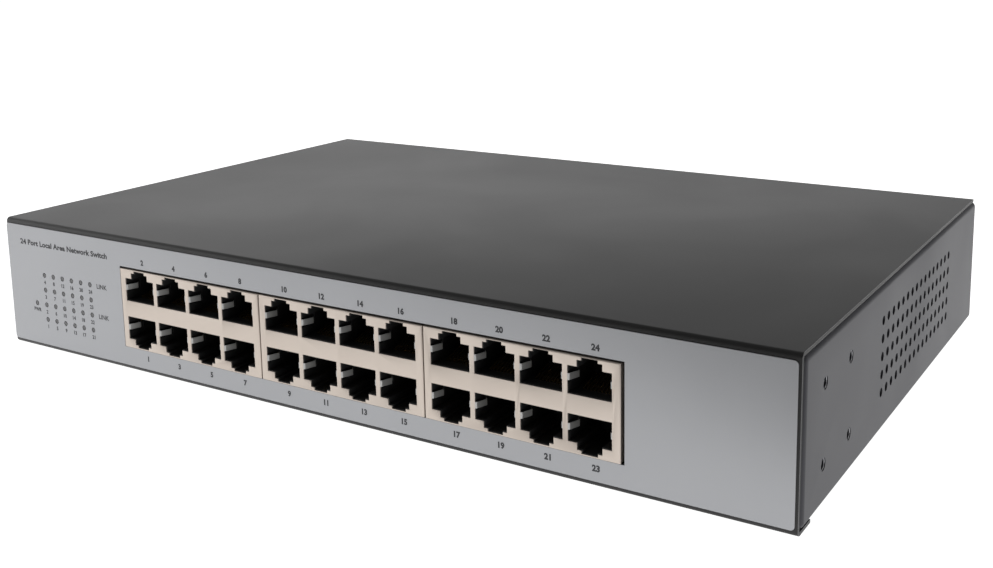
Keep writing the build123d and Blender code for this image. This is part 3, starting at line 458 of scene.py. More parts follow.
finish("winding_tape", (0.72, 0.5, 0.06), (0.8, 0.58, 0.1), (0.25, 0.35), streak_group,
       {"Lines per metre": 500.0, "Stretch": 20.0, "Strength": 0.3})
finish("enamelled_copper", (0.46, 0.17, 0.06), (0.56, 0.23, 0.09), (0.22, 0.3), streak_group,
       rolled, Metallic=0.9)
finish("yellow_box_case", (0.75, 0.52, 0.05), (0.8, 0.58, 0.08), (0.32, 0.4), grain_group, mould)
finish("fuse_black", (0.02, 0.02, 0.021), (0.03, 0.03, 0.03), (0.35, 0.45), grain_group, mould)
finish("inlet_black", (0.012, 0.012, 0.0125), (0.018, 0.018, 0.019), (0.38, 0.46), grain_group,
       mould, Specular_IOR_Level=0.45)
finish("milky_sheet", (0.62, 0.63, 0.64), (0.7, 0.71, 0.72), (0.3, 0.4), grain_group, mould,
       Transmission_Weight=0.35)
finish("wire_black_pvc", (0.015, 0.015, 0.016), (0.022, 0.022, 0.023), (0.35, 0.45), grain_group,
       mould)
finish("can_aluminium", (0.6, 0.61, 0.62), (0.7, 0.71, 0.72), (0.3, 0.38), grain_group, mould,
       Metallic=1.0)
print("finishes:", len(finishes))

# %% [markdown]
# ## Finishes on the CAD's own pieces
# Most CAD pieces have the right shape already, so they only get a finish. A finish is put in the
# material slot of the CAD object, and nothing else about that object changes.

# %% Give each CAD node its finish
finish_of_node = {
    "cover_screws": "black_oxide", "light_holder": "black_nylon", "port_lights": "smoked_lens",
    "power_light": "smoked_lens", "main_board_posts": "zinc_plate",
    "main_board_screws": "zinc_plate", "switch_chip": "chip_epoxy",
    "chip_heat_sink": "black_anodised", "line_transformers": "chip_epoxy",
    "clock_crystal": "tin_plate", "power_inductor": "ferrite_grey",
    "voltage_regulator": "chip_epoxy", "main_board_header": "white_nylon",
    "power_board_posts": "zinc_plate", "power_board_screws": "zinc_plate",
    "insulating_sheet": "milky_sheet", "transformer_core": "ferrite_grey",
    "transformer_winding": "winding_tape", "heat_plate": "brushed_aluminium",
    "power_transistor": "chip_epoxy", "choke_core": "ferrite_grey",
    "choke_windings": "enamelled_copper", "line_capacitor": "yellow_box_case",
    "mains_fuse": "fuse_black", "mains_header": "white_nylon",
    "power_board_header": "white_nylon",
    "inlet_blades": "tin_plate", "inlet_screws": "black_oxide", "inlet_nuts": "zinc_plate",
    "earth_screw": "zinc_plate", "earth_washer": "zinc_plate", "earth_nut": "zinc_plate",
    "mains_leads": "wire_black_pvc", "signal_plugs": "white_nylon", "front_film": "film_silver_ink",
}
for number in "123":
    finish_of_node["port_inserts_" + number] = "black_nylon"
    finish_of_node["port_contacts_" + number] = "gold_contact"
    finish_of_node["port_side_springs_" + number] = "spring_steel"


def dress(node, made):
    slots = nodes[node].data.materials
    slots.clear()
    slots.append(made)


for node, name in finish_of_node.items():
    dress(node, finishes[name])
print("dressed:", len(finish_of_node), "of", len(nodes))

# %% [markdown]
# ## Rounding real edges
# A drawing has sharp edges, and no real part has. A piece that shows its edges is copied from its
# CAD node, its loose triangles are welded, its flat faces are joined, and a Bevel modifier rounds
# each edge by a tenth or two of a millimetre. The rounded copy then stands for the node.

# %% Rounded copies of CAD nodes
def welded(node, name):
    """A new object with the node's shape: welded, with its flat faces joined."""
    mesh = nodes[node].data
    points = [tuple(v.co) for v in mesh.vertices]
    faces = [tuple(p.vertices) for p in mesh.polygons]
    copy = bpy.data.meshes.new(name)
    copy.from_pydata(points, [], faces)
    work = bmesh.new()
    work.from_mesh(copy)
    bmesh.ops.remove_doubles(work, verts=work.verts, dist=0.002 * MM)
    bmesh.ops.dissolve_limit(
        work, angle_limit=math.radians(0.6), verts=work.verts, edges=work.edges)
    work.to_mesh(copy)
    work.free()
    return bpy.data.objects.new(name, copy)


def settle(piece):
    """Applies a piece's modifiers: its evaluated mesh becomes its own, with none left live."""
    if not piece.users_collection:
        bpy.context.scene.collection.objects.link(piece)
    bpy.context.view_layer.update()
    graph = bpy.context.evaluated_depsgraph_get()
    mesh = bpy.data.meshes.new_from_object(piece.evaluated_get(graph), depsgraph=graph)
    mesh.name = piece.name
    piece.modifiers.clear()
    piece.data = mesh
    return piece


ROUNDED_FROM = math.radians(40)
SHARP_FROM = math.radians(28)


def rounded(node, name, radius, made, segments=2):
    """A rounded copy that replaces its CAD node and rides its body."""
    piece = welded(node, name)
    bpy.context.scene.collection.objects.link(piece)
    edge = piece.modifiers.new("round_edges", "BEVEL")
    edge.width = radius * MM
    edge.segments = segments
    edge.limit_method = "ANGLE"
    edge.angle_limit = ROUNDED_FROM
    edge.use_clamp_overlap = True
    edge.harden_normals = False
    settle(piece)
    piece.data.materials.clear()
    piece.data.materials.append(made)
    piece.data.shade_smooth()
    piece.data.set_sharp_from_angle(angle=SHARP_FROM)
    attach(piece, nodes[node]["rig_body"])
    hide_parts(node)
    print(name, "faces:", len(piece.data.polygons))
    return piece


# %% Round the shields, the sockets and the inlet
for number in "123":
    shield = rounded("port_shield_" + number, "socket_shield_" + number, 0.1,
                     finishes["nickel_plate"])
    block = rounded("port_housing_" + number, "socket_block_" + number, 0.12,
                    finishes["black_nylon"])
inlet_body = rounded("mains_inlet", "inlet_body", 0.3, finishes["inlet_black"])

# %% [markdown]
# The cover and the tray are long sheets with many holes. Their rounding is finer. The rounding of the
# cut edges down the cover's sides gets a second material, a bright metal that is a painted highlight
# along those edges.

# %% Cover and tray
cover_shell = rounded("top_cover", "cover_shell", 0.1, finishes["cover_paint_black"])
cover_shell.data.materials.append(finishes["painted_edge_highlight"])
cover_low, cover_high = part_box("top_cover")
edge_width = 0.09 * MM
facing_sideways = 0.98
edge_highlight_faces = 0
# Faces of the rounding along the cover's side edges take the bright metal: a painted highlight.
for face in cover_shell.data.polygons:
    from_side = min(face.center.x - cover_low.x, cover_high.x - face.center.x)
    if from_side < edge_width and abs(face.normal.x) < facing_sideways:
        face.material_index = 1
        edge_highlight_faces += 1
tray_shell = rounded("base_tray", "tray_shell", 0.1, finishes["tray_coat_grey"], segments=1)
print("cut edge faces:", edge_highlight_faces)

# %% [markdown]
# ## Printing on the front
# The film is printed with a heading, a number over and under each socket, and a number under each
# light. Each text is made as a flat curve, turned into a mesh, scaled to its letter height, stood
# up in the plane of the film, and joined with the rest. The ink lies a few hundredths of a
# millimetre proud of the film.

# %% Printed words and numbers
INK_PROUD = 0.02
CAPITAL_HEIGHT = 0.729
ink_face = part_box("front_film")[0].y - INK_PROUD * MM
left_side = -140.0


def letters(words, height, bold=0.0):
    """A flat mesh of words, with capitals of that height in millimetres, centred on zero."""
    curve = bpy.data.curves.new("words", "FONT")
    curve.body = words
    curve.resolution_u = 3
    curve.offset = bold
    curve.space_character = 1.02
    holder = bpy.data.objects.new("words", curve)
    bpy.context.scene.collection.objects.link(holder)
    bpy.context.view_layer.update()
    mesh = bpy.data.meshes.new_from_object(holder)
    bpy.data.objects.remove(holder)
    size = height * MM / CAPITAL_HEIGHT
    mesh.transform(Matrix.Scale(size, 4))
    low = min(v.co.x for v in mesh.vertices)
    high = max(v.co.x for v in mesh.vertices)
    mesh.transform(Matrix.Translation((-(low + high) / 2, -height * MM / 2, 0)))
    return mesh, (high - low) / MM


ink = bmesh.new()


def printed(words, x, z, height, bold=0.0, left=None, stretch=1.0):
    """Prints words centred on x, z, in millimetres from the case's left side and its bottom."""
    mesh, width = letters(words, height, bold)
    mesh.transform(Matrix.Scale(stretch, 4, (1, 0, 0)))
    if left is not None:
        x = left + width * stretch / 2
    mesh.transform(Matrix.Rotation(math.pi / 2, 4, "X"))
    mesh.transform(Matrix.Translation(((left_side + x) * MM, ink_face, z * MM)))
    ink.from_mesh(mesh)
    bpy.data.meshes.remove(mesh)


upper_line, lower_line = 36.7, 5.2
socket_step, module_step = 13.97, 59.42
first_socket_number = 66.85
first_light, light_step = 18.45, 4.57
top_light_row, light_row_step = 26.0, 5.12
number_below_light = 2.4
printed("24 Port Local Area Network Switch", 0, upper_line, 1.8, bold=0.035, left=7.3,
        stretch=1.17)
for module in range(3):
    for column in range(4):
        x = first_socket_number + column * socket_step + module * module_step
        pair = 2 * (module * 4 + column)
        printed(str(pair + 2), x, upper_line, 1.65, bold=0.05)
        printed(str(pair + 1), x, lower_line, 1.65, bold=0.05)
for column in range(6):
    for row in range(4):
        x = first_light + column * light_step
        z = top_light_row - row * light_row_step - number_below_light
        printed(str(4 * column + 4 - row), x, z, 1.25, bold=0.035)
printed("PWR", 13.55, 13.6, 1.2, bold=0.035)
printed("LINK", 47.0, top_light_row, 1.6, bold=0.02)
printed("LINK", 47.0, 15.8, 1.6, bold=0.02)
print("printed faces:", len(ink.faces))

# %% Make the ink one piece
print_mesh = bpy.data.meshes.new("front_printing")
ink.to_mesh(print_mesh)
ink.free()
front_printing = bpy.data.objects.new("front_printing", print_mesh)
bpy.context.scene.collection.objects.link(front_printing)
print_mesh.materials.append(finishes["printing_ink"])
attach(front_printing, "cover")
print("ink piece at y", round(ink_face / MM, 3))

# %% [markdown]
# ## Printed circuit boards
# A board's green coat lies over copper tracks, so tracks show as slightly lighter raised lines in
# bundles. Real tracks would be thousands of faces. A shader does it instead: square cells pick
# whether the tracks run one way, the other way, or not at all, and a saw-tooth gives the lines.

# %% Track pattern group
def make_tracks():
    group, start, end = shader_group(
        "board_tracks", {"Cells per metre": 70.0, "Track pitch": 0.0011}, {"Copper": FLOAT})
    place = add(group, "ShaderNodeTexCoord")
    cells = add(group, "ShaderNodeTexVoronoi", {
        "Vector": place.outputs["Object"], "Scale": start.outputs["Cells per metre"],
    }, distance="CHEBYCHEV")
    choice = add(group, "ShaderNodeSeparateColor", {"Color": cells.outputs["Color"]})
    axes = add(group, "ShaderNodeSeparateXYZ", {"Vector": place.outputs["Object"]})

    def lines(axis):
        steps = add(group, "ShaderNodeMath", {
            0: axes.outputs[axis], 1: start.outputs["Track pitch"]}, operation="DIVIDE")
        saw = add(group, "ShaderNodeMath", {0: steps.outputs[0]}, operation="FRACT")
        return add(group, "ShaderNodeMath", {0: saw.outputs[0], 1: 0.42}, operation="LESS_THAN")

    def picked(low, pattern):
        above = add(group, "ShaderNodeMath", {
            0: choice.outputs["Red"], 1: low}, operation="GREATER_THAN")
        return add(group, "ShaderNodeMath", {
            0: above.outputs[0], 1: pattern.outputs[0]}, operation="MULTIPLY")

    along = picked(0.5, lines("X"))
    not_along = add(group, "ShaderNodeMath", {0: choice.outputs["Red"], 1: 0.28},
                    operation="LESS_THAN")
    across = add(group, "ShaderNodeMath", {
        0: not_along.outputs[0], 1: lines("Y").outputs[0]}, operation="MULTIPLY")
    both = add(group, "ShaderNodeMath", {0: along.outputs[0], 1: across.outputs[0]},
               operation="MAXIMUM")
    group.links.new(both.outputs[0], end.inputs["Copper"])
    return group


tracks_group = make_tracks()
print("tracks:", tracks_group.name)


# %% Board finishes
def board_finish(name, bare, coated, rough):
    made, tree, shader = new_finish(name)
    tracks = grouped(tree, tracks_group, {})
    relief = add(tree, "ShaderNodeBump", {
        "Strength": 0.5, "Distance": 0.00004, "Height": tracks.outputs["Copper"]})
    colour = mixed(tree, tracks.outputs["Copper"], bare, coated)
    tree.links.new(colour, shader.inputs["Base Color"])
    tree.links.new(relief.outputs["Normal"], shader.inputs["Normal"])
    shader.inputs["Roughness"].default_value = rough
    return made


dress("main_board", board_finish("green_board", (0.012, 0.075, 0.03), (0.03, 0.14, 0.055), 0.32))
dress("power_board", board_finish("tan_board", (0.30, 0.19, 0.08), (0.36, 0.24, 0.11), 0.5))
print("boards dressed")

# %% [markdown]
# ## Repeated small things
# Chip leads, small parts on the board, wire turns and screw threads all repeat. Geometry Nodes
# make them: the places are the points of a small mesh, and a tree puts one shape on each. Each tree
# has its sizes as named inputs. When it is done, the result is turned into a plain mesh.

# %% Helpers for geometry trees
def geometry_tree(name, sizes):
    """An empty tree that takes places as points, with named sizes, and its end nodes."""
    tree = bpy.data.node_groups.new(name, "GeometryNodeTree")
    tree.interface.new_socket("Places", in_out="INPUT", socket_type=GEOMETRY)
    for label, value in sizes.items():
        kind = "NodeSocketInt" if isinstance(value, int) else FLOAT
        socket = tree.interface.new_socket(label, in_out="INPUT", socket_type=kind)
        socket.default_value = value
    tree.interface.new_socket("Finish", in_out="INPUT", socket_type="NodeSocketMaterial")
    tree.interface.new_socket("Result", in_out="OUTPUT", socket_type=GEOMETRY)
    return tree, tree.nodes.new("NodeGroupInput"), tree.nodes.new("NodeGroupOutput")


def sum_of(tree, a, b, operation="ADD"):
    return add(tree, "ShaderNodeMath", {0: a, 1: b}, operation=operation).outputs[0]


def times(tree, a, b):
    return sum_of(tree, a, b, "MULTIPLY")


def vector(tree, x=0.0, y=0.0, z=0.0):
    return add(tree, "ShaderNodeCombineXYZ", {"X": x, "Y": y, "Z": z}).outputs[0]


def row_of(tree, shape, count, pitch, y=0.0):
    """A shape repeated along X at a pitch, with the row's middle on zero."""
    spans = sum_of(tree, count, -1.0)
    first = times(tree, times(tree, spans, pitch), -0.5)
    line = add(tree, "GeometryNodeMeshLine", {
        "Count": count, "Start Location": vector(tree, first, y), "Offset": vector(tree, pitch)})
    row = add(tree, "GeometryNodeInstanceOnPoints", {
        "Points": line.outputs["Mesh"], "Instance": shape})
    return row.outputs[0]


def end_tree(tree, start, end, shape):
    """Puts the shape on each place, then makes it real and gives it its finish."""
    placed = add(tree, "GeometryNodeInstanceOnPoints", {
        "Points": start.outputs["Places"], "Instance": shape})
    real = add(tree, "GeometryNodeRealizeInstances", {"Geometry": placed.outputs[0]})
    done = add(tree, "GeometryNodeSetMaterial", {
        "Geometry": real.outputs[0], "Material": start.outputs["Finish"]})
    tree.links.new(done.outputs[0], end.inputs["Result"])
    return tree


def grown(name, tree, places, body, slot, made, **sizes):
    """Runs a tree on places in millimetres, and makes the result a plain piece on a body."""
    mesh = bpy.data.meshes.new(name)
    mesh.from_pydata([tuple(v * MM for v in place) for place in places], [], [])
    piece = bpy.data.objects.new(name, mesh)
    bpy.context.scene.collection.objects.link(piece)
    modifier = piece.modifiers.new("grow", "NODES")
    modifier.node_group = tree
    for item in tree.interface.items_tree:
        if item.in_out == "INPUT" and item.name in sizes:
            modifier[item.identifier] = sizes[item.name]
        if item.in_out == "INPUT" and item.name == "Finish":
            modifier[item.identifier] = made
    settle(piece)
    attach(piece, body)
    print(name, "faces:", len(piece.data.polygons))
    return piece


def millimetres(**sizes):
    """Sizes by their input names, with underscores for spaces, in metres."""
    return {
        label.replace("_", " ").capitalize(): value if isinstance(value, int) else value * MM
        for label, value in sizes.items()
    }


def centre_of(node):
    low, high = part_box(node)
    middle = (low + high) / 2 / MM
    return middle.x, middle.y, low.z / MM, high.z / MM


print("tree helpers ready")


# %% Leads of the chips
def make_lead_tree():
    """Bent leads in two or four rows round each place."""
    tree, start, end = geometry_tree("chip_leads", {
        "Leads a side": 16, "Pitch": 0.0005, "Body depth": 0.01, "Lead width": 0.0002,
        "Reach": 0.001, "Drop": 0.0007, "Thickness": 0.00015, "Four sides": 0})
    wide, reach = start.outputs["Lead width"], start.outputs["Reach"]
    drop, thick = start.outputs["Drop"], start.outputs["Thickness"]
    parts = [
        (vector(tree, wide, times(tree, reach, 0.5), thick),
         vector(tree, 0.0, times(tree, reach, -0.25), drop)),
        (vector(tree, wide, thick, drop),
         vector(tree, 0.0, times(tree, reach, -0.5), times(tree, drop, 0.5))),
        (vector(tree, wide, times(tree, reach, 0.5), thick),
         vector(tree, 0.0, times(tree, reach, -0.75), times(tree, thick, 0.5))),
    ]
    lead = add(tree, "GeometryNodeJoinGeometry")
    for size, place in parts:
        cube = add(tree, "GeometryNodeMeshCube", {"Size": size})
        moved = add(tree, "GeometryNodeTransform", {
            "Geometry": cube.outputs["Mesh"], "Translation": place})
        tree.links.new(moved.outputs[0], lead.inputs["Geometry"])
    side = row_of(tree, lead.outputs[0], start.outputs["Leads a side"], start.outputs["Pitch"],
                  times(tree, start.outputs["Body depth"], -0.5))
    pair = add(tree, "GeometryNodeJoinGeometry")
    other = add(tree, "GeometryNodeTransform", {"Geometry": side, "Rotation": (0, 0, math.pi)})
    tree.links.new(side, pair.inputs["Geometry"])
    tree.links.new(other.outputs[0], pair.inputs["Geometry"])
    crossed = add(tree, "GeometryNodeTransform", {
        "Geometry": pair.outputs[0], "Rotation": (0, 0, math.pi / 2)})
    four = add(tree, "GeometryNodeJoinGeometry")
    tree.links.new(pair.outputs[0], four.inputs["Geometry"])
    tree.links.new(crossed.outputs[0], four.inputs["Geometry"])
    choice = add(tree, "GeometryNodeSwitch", {
        "Switch": start.outputs["Four sides"], "False": pair.outputs[0],
        "True": four.outputs[0]}, input_type="GEOMETRY")
    return end_tree(tree, start, end, choice.outputs[0])


lead_tree = make_lead_tree()
board_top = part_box("main_board")[1].z / MM
chip_x, chip_y, _, _ = centre_of("switch_chip")
grown("chip_leads", lead_tree, [(chip_x, chip_y, board_top)], "chassis", "crystal_can",
      finishes["tin_plate"], **millimetres(
          leads_a_side=36, pitch=0.5, body_depth=20.0, lead_width=0.22, reach=1.4, drop=0.7,
          thickness=0.15, four_sides=1))
magnetic_low, magnetic_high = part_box("line_transformers")
magnetic_y = (magnetic_low.y + magnetic_high.y) / 2 / MM
magnetic_width, magnetic_depth = 27.4, 9.6
half_module = 59.11 / 2
first_magnetic = magnetic_low.x / MM + magnetic_width / 2
magnetic_places = [
    (first_magnetic + module * module_step + half * half_module, magnetic_y, board_top)
    for module in range(3) for half in range(2)
]
grown("line_transformer_leads", lead_tree, magnetic_places, "chassis", "crystal_can",
      finishes["tin_plate"], **millimetres(
          leads_a_side=20, pitch=1.27, body_depth=magnetic_depth, lead_width=0.45, reach=1.6,
          drop=1.2, thickness=0.22, four_sides=0))


# %% [markdown]
# Resistors and capacitors are boxes with tinned ends. One tree puts a box on each place. It runs
# twice: a longer, slightly slimmer box gives the ends, and a shorter, fuller one the body.

# %% Small parts on the main board
def make_box_tree():
    tree, start, end = geometry_tree("boxes_on_places", {
        "Length": 0.002, "Width": 0.001, "Height": 0.0005})
    size = vector(tree, start.outputs["Length"], start.outputs["Width"], start.outputs["Height"])
    cube = add(tree, "GeometryNodeMeshCube", {"Size": size})
    moved = add(tree, "GeometryNodeTransform", {
        "Geometry": cube.outputs["Mesh"],
        "Translation": vector(tree, 0.0, 0.0, times(tree, start.outputs["Height"], 0.5))})
    return end_tree(tree, start, end, moved.outputs[0])


box_tree = make_box_tree()
finish("resistor_black", (0.015, 0.015, 0.016), (0.02, 0.02, 0.021), (0.25, 0.35), grain_group, {})
finish("capacitor_brown", (0.2, 0.11, 0.055), (0.25, 0.14, 0.07), (0.35, 0.45), grain_group, mould)


def small_parts(name, places, length, width, height, body_finish):
    grown(name + "_ends", box_tree, places, "chassis", "crystal_can", finishes["tin_plate"],
          **millimetres(length=length, width=0.94 * width, height=0.94 * height))
    grown(name + "_bodies", box_tree, places, "chassis", "chip_black", body_finish,
          **millimetres(length=0.6 * length, width=width, height=height))


row_step = 2.6
behind_magnetics = magnetic_y + 9.0
clear_of_chip = 16
resistor_places = [
    (x + step, behind_magnetics + row * row_step, board_top)
    for x, _, _ in magnetic_places for row in range(2) for step in (-9.0, -5.4, -1.8, 1.8, 5.4, 9.0)
    if abs(x + step - chip_x) > clear_of_chip
]
small_parts("resistors", resistor_places, 2.0, 1.25, 0.5, finishes["resistor_black"])
beside_chip, capacitor_step = 16.6, 3.4
capacitor_places = [
    (chip_x + side * (beside_chip + row * row_step), chip_y + step * capacitor_step, board_top)
    for side in (-1, 1) for row in range(2) for step in range(-3, 4)
    if not (side > 0 and abs(step) < 2)
]
small_parts("capacitors", capacitor_places, 1.6, 0.8, 0.8, finishes["capacitor_brown"])
behind_lights = -79.5
light_resistor_places = [
    (left_side + first_light + column * light_step, behind_lights, board_top)
    for column in range(6)
]
small_parts("light_resistors", light_resistor_places, 2.0, 1.25, 0.5, finishes["resistor_black"])


# %% [markdown]
# The choke's coils are lacquered copper wire. Each turn is a ring with rounded corners, swept
# from a small circle, and the turns are stacked on a line. The screw threads in the ear holes are
# the same idea turned on its side: a small ridge swept round a circle.

# %% Wire turns and threads
def make_turn_tree():
    tree, start, end = geometry_tree("wire_turns", {
        "Turns": 10, "Pitch": 0.0009, "Width": 0.008, "Depth": 0.015, "Corner": 0.002,
        "Wire radius": 0.0004})
    outline = add(tree, "GeometryNodeCurvePrimitiveQuadrilateral", {
        "Width": start.outputs["Width"], "Height": start.outputs["Depth"]})
    soft = add(tree, "GeometryNodeFilletCurve", {
        "Curve": outline.outputs[0], "Radius": start.outputs["Corner"], "Count": 3}, mode="POLY")
    wire = add(tree, "GeometryNodeCurvePrimitiveCircle", {
        "Resolution": 6, "Radius": start.outputs["Wire radius"]})
    turn_mesh = add(tree, "GeometryNodeCurveToMesh", {
        "Curve": soft.outputs[0], "Profile Curve": wire.outputs[0]})
    line = add(tree, "GeometryNodeMeshLine", {
        "Count": start.outputs["Turns"], "Offset": vector(tree, 0.0, 0.0, start.outputs["Pitch"])})
    stack = add(tree, "GeometryNodeInstanceOnPoints", {
        "Points": line.outputs["Mesh"], "Instance": turn_mesh.outputs[0]})
    return end_tree(tree, start, end, stack.outputs[0])


turn_tree = make_turn_tree()
choke_x, choke_y, _, _ = centre_of("choke_core")
_, _, coil_low, coil_high = centre_of("choke_windings")
wire_radius, turn_pitch = 0.45, 0.92
coil_offset = 6.2
coil_places = [
    (choke_x + side * coil_offset, choke_y, coil_low + wire_radius) for side in (-1, 1)]
turns = int((coil_high - coil_low) / turn_pitch)
coil = grown("choke_wire_turns", turn_tree, coil_places, "chassis", "enamelled_copper",
             finishes["enamelled_copper"], **millimetres(
                 turns=turns, pitch=turn_pitch, width=8.1, depth=15.4, corner=2.0,
                 wire_radius=wire_radius))
coil.data.shade_smooth()


def make_thread_tree():
    """Ridges round the inside of a hole that lies along X."""
    tree, start, end = geometry_tree("thread_ridges", {
        "Ridges": 3, "Pitch": 0.0006, "Hole radius": 0.00165, "Ridge": 0.0002})
    ring = add(tree, "GeometryNodeCurvePrimitiveCircle", {
        "Resolution": 20, "Radius": start.outputs["Hole radius"]})
    ridge = add(tree, "GeometryNodeCurvePrimitiveCircle", {
        "Resolution": 3, "Radius": start.outputs["Ridge"]})
    swept = add(tree, "GeometryNodeCurveToMesh", {
        "Curve": ring.outputs[0], "Profile Curve": ridge.outputs[0]})
    turned = add(tree, "GeometryNodeTransform", {
        "Geometry": swept.outputs[0], "Rotation": (0, math.pi / 2, 0)})
    stack = row_of(tree, turned.outputs[0], start.outputs["Ridges"], start.outputs["Pitch"])
    return end_tree(tree, start, end, stack)


ear_mount = next(m for m in frame["record"]["mounts"] if m["name"] == "rack_ear_holes_right")
ear_y, ear_z = ear_mount["pos_m"][1] / MM, ear_mount["pos_m"][2] / MM
ear_step = 10.16
thread_middle = 139.0
thread_places = [
    (side * thread_middle, ear_y + a * ear_step, ear_z + b * ear_step)
    for side in (-1, 1) for a in (-1, 1) for b in (-1, 1)
]
grown("ear_hole_threads", make_thread_tree(), thread_places, "chassis", "tray_paint",
      finishes["zinc_plate"], **millimetres(ridges=3, pitch=0.65, hole_radius=1.62, ridge=0.16))


# %% [markdown]
# ## Electrolytic capacitors
# Each is an aluminium can in a shrunk plastic sleeve. The sleeve has a pale stripe that marks its
# negative side, and stops just over the can's edge. The bare top has a scored cross, which opens if the
# can fails. The cross has no groove here: it is two flat dark strips just over the top, painted shade
# for the groove. They are lathe shapes: one outline turned round an axis, with a finish for each band.

# %% Capacitor cans
finish("sleeve_black", (0.012, 0.013, 0.02), (0.018, 0.019, 0.028), (0.22, 0.3), grain_group, mould)
finish("sleeve_stripe", (0.42, 0.44, 0.46), (0.5, 0.52, 0.54), (0.25, 0.32), grain_group, mould)
# The dark metal of the scored cross is painted shade for its groove, which has no shape of its own.
finish("scored_groove_shade", (0.12, 0.12, 0.125), (0.16, 0.16, 0.165), (0.5, 0.6), grain_group, mould,
       Metallic=0.8)


CAN_FINISHES = ("sleeve_black", "can_aluminium", "sleeve_stripe", "scored_groove_shade")
SLEEVE, BARE_CAN, STRIPE, SCORED_GROOVE_SHADE = range(4)


def capacitor_cans(name, node, places, radius, height):
    """Cans at places in millimetres, which replace one CAD node."""
    work = bmesh.new()
    outline = [
        (radius - 0.5, 0.0), (radius - 0.05, 0.35), (radius - 0.02, 1.3), (radius - 0.3, 1.75),
        (radius - 0.3, 2.05), (radius - 0.02, 2.5), (radius - 0.02, height - 0.75),
        (radius - 0.25, height - 0.22), (radius - 0.75, height - 0.04),
        (radius - 0.95, height - 0.06), (radius - 1.05, height - 0.25), (0.0, height - 0.25),
    ]
    around = 32
    last_sleeve_band = 7
    for x, y, z in places:
        rings = []
        for r, h in outline[:-1]:
            rings.append([work.verts.new((
                (x + r * math.cos(math.tau * i / around)) * MM,
                (y + r * math.sin(math.tau * i / around)) * MM, (z + h) * MM))
                for i in range(around)])
        for band in range(len(rings) - 1):
            for i in range(around):
                j = (i + 1) % around
                face = work.faces.new(
                    (rings[band][i], rings[band][j], rings[band + 1][j], rings[band + 1][i]))
                face.smooth = True
                striped = around // 8 <= i < around // 4
                sleeve = STRIPE if striped else SLEEVE
                face.material_index = BARE_CAN if band > last_sleeve_band else sleeve
        top = work.faces.new(rings[-1])
        top.material_index = BARE_CAN
        work.faces.new(list(reversed(rings[0])))
        # The scored cross: two flat dark strips just over the top, painted shade for a groove that is
        # not modelled.
        arm, half, lift = 0.62 * radius, 0.09, height - 0.24
        for turn in (math.pi / 4, -math.pi / 4):
            spin = Matrix.Rotation(turn, 4, "Z")
            corners = [spin @ Vector((u, v, 0)) for u, v in
                       ((-arm, -half), (arm, -half), (arm, half), (-arm, half))]
            line = work.faces.new([
                work.verts.new(((x + c.x) * MM, (y + c.y) * MM, (z + lift) * MM))
                for c in corners])
            line.material_index = SCORED_GROOVE_SHADE
    mesh = bpy.data.meshes.new(name)
    work.to_mesh(mesh)
    work.free()
    piece = bpy.data.objects.new(name, mesh)
    bpy.context.scene.collection.objects.link(piece)
    for label in CAN_FINISHES:
        mesh.materials.append(finishes[label])
    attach(piece, "chassis")
    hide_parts(node)
    print(name, "cans:", len(places))
    return piece


def can_centres(node, radius):
    """Where the cans of a CAD node stand: the middles of its separate lowest rings."""
    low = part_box(node)[0].z
    points = [v.co for v in nodes[node].data.vertices if v.co.z - low < 0.01 * MM]
    found = []
    for p in points:
        near_one = [c for c in found if (c[0] - p).length < 2.2 * radius * MM]
        if near_one:
            near_one[0][1].append(p)
        else:
            found.append((p, [p]))
    places = []
    for _, group in found:
        xs, ys = [p.x for p in group], [p.y for p in group]
        places.append(((min(xs) + max(xs)) / 2 / MM, (min(ys) + max(ys)) / 2 / MM, low / MM))
    return places


for name, node, radius in (("filter_cans", "filter_capacitors", 3.15),
                           ("bulk_can", "bulk_capacitor", 9.0),
                           ("output_cans", "output_capacitors", 5.0)):
    low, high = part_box(node)
    capacitor_cans(name, node, can_centres(node, radius), radius, (high.z - low.z) / MM)

# %% [markdown]
# ## Wires
# Each wire's colour tells what it does. The low-voltage wires lie side by side, so one slanted
# coordinate tells them apart and picks their colour. The earth lead is green with a yellow side, and
# its ring tag is bare tinned copper.

# %% Wire finishes
def wire_finish(name):
    """Smooth wire insulation, still without its colour."""
    made, tree, shader = new_finish(name)
    shader.inputs["Roughness"].default_value = 0.4
    relief = grouped(tree, grain_group, {"Grains per metre": 4000.0, "Strength": 0.15})
    tree.links.new(relief.outputs["Normal"], shader.inputs["Normal"])
    return made, tree, shader


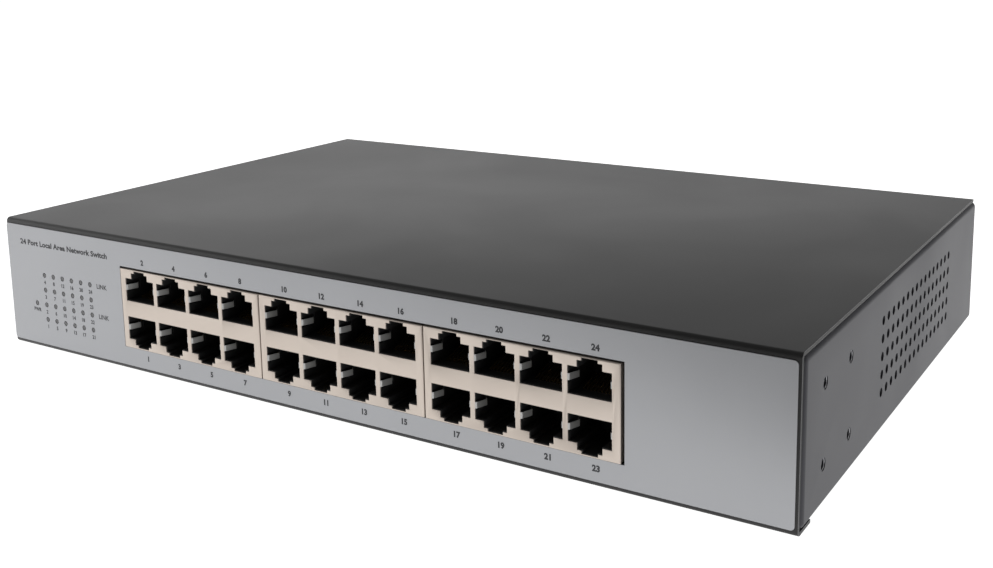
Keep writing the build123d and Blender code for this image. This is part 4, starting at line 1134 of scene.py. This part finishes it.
def make_signal_finish():
    made, tree, shader = wire_finish("signal_wire_colours")
    low_plug, high_plug = centre_of("power_board_header"), centre_of("main_board_header")
    slope = (high_plug[0] - low_plug[0]) / (low_plug[1] - high_plug[1])
    place = add(tree, "ShaderNodeTexCoord")
    axes = add(tree, "ShaderNodeSeparateXYZ", {"Vector": place.outputs["Object"]})
    along = add(tree, "ShaderNodeMath", {
        0: axes.outputs["Y"], 1: slope, 2: axes.outputs["X"]}, operation="MULTIPLY_ADD")
    offset = (low_plug[0] + slope * low_plug[1]) * MM
    spread_width = 10.0 * MM
    share = add(tree, "ShaderNodeMapRange", {
        "Value": along.outputs[0], "From Min": offset - spread_width / 2,
        "From Max": offset + spread_width / 2})
    ramp = add(tree, "ShaderNodeValToRGB", {"Fac": share.outputs["Result"]})
    ramp.color_ramp.interpolation = "CONSTANT"
    stops = [(0.0, (0.5, 0.02, 0.015, 1)), (0.25, (0.015, 0.015, 0.016, 1)),
             (0.5, (0.6, 0.42, 0.03, 1)), (0.75, (0.015, 0.015, 0.016, 1))]
    ramp.color_ramp.elements[0].color = stops[0][1]
    ramp.color_ramp.elements.remove(ramp.color_ramp.elements[1])
    for position, colour in stops[1:]:
        ramp.color_ramp.elements.new(position).color = colour
    tree.links.new(ramp.outputs["Color"], shader.inputs["Base Color"])
    return made


def make_earth_finish():
    made, tree, shader = wire_finish("earth_lead_green")
    place = add(tree, "ShaderNodeTexCoord")
    facing = add(tree, "ShaderNodeSeparateXYZ", {"Vector": place.outputs["Normal"]})
    stripe_from = 0.35
    stripe = add(tree, "ShaderNodeMath", {0: facing.outputs["Z"], 1: stripe_from},
                 operation="GREATER_THAN")
    colour = mixed(tree, stripe.outputs[0], (0.02, 0.2, 0.04), (0.65, 0.5, 0.03))
    where = add(tree, "ShaderNodeSeparateXYZ", {"Vector": place.outputs["Object"]})
    tag_reach = 9.0
    tag_end = (centre_of("earth_washer")[0] + tag_reach) * MM
    tag = add(tree, "ShaderNodeMath", {0: where.outputs["X"], 1: tag_end}, operation="LESS_THAN")
    tinned = add(tree, "ShaderNodeMix", {"Factor": tag.outputs[0]}, data_type="RGBA")
    tree.links.new(colour, tinned.inputs[6])
    tinned.inputs[7].default_value = (0.7, 0.7, 0.72, 1)
    tree.links.new(tinned.outputs[2], shader.inputs["Base Color"])
    tree.links.new(tag.outputs[0], shader.inputs["Metallic"])
    return made


dress("signal_cable", make_signal_finish())
dress("earth_lead", make_earth_finish())
print("wires dressed")
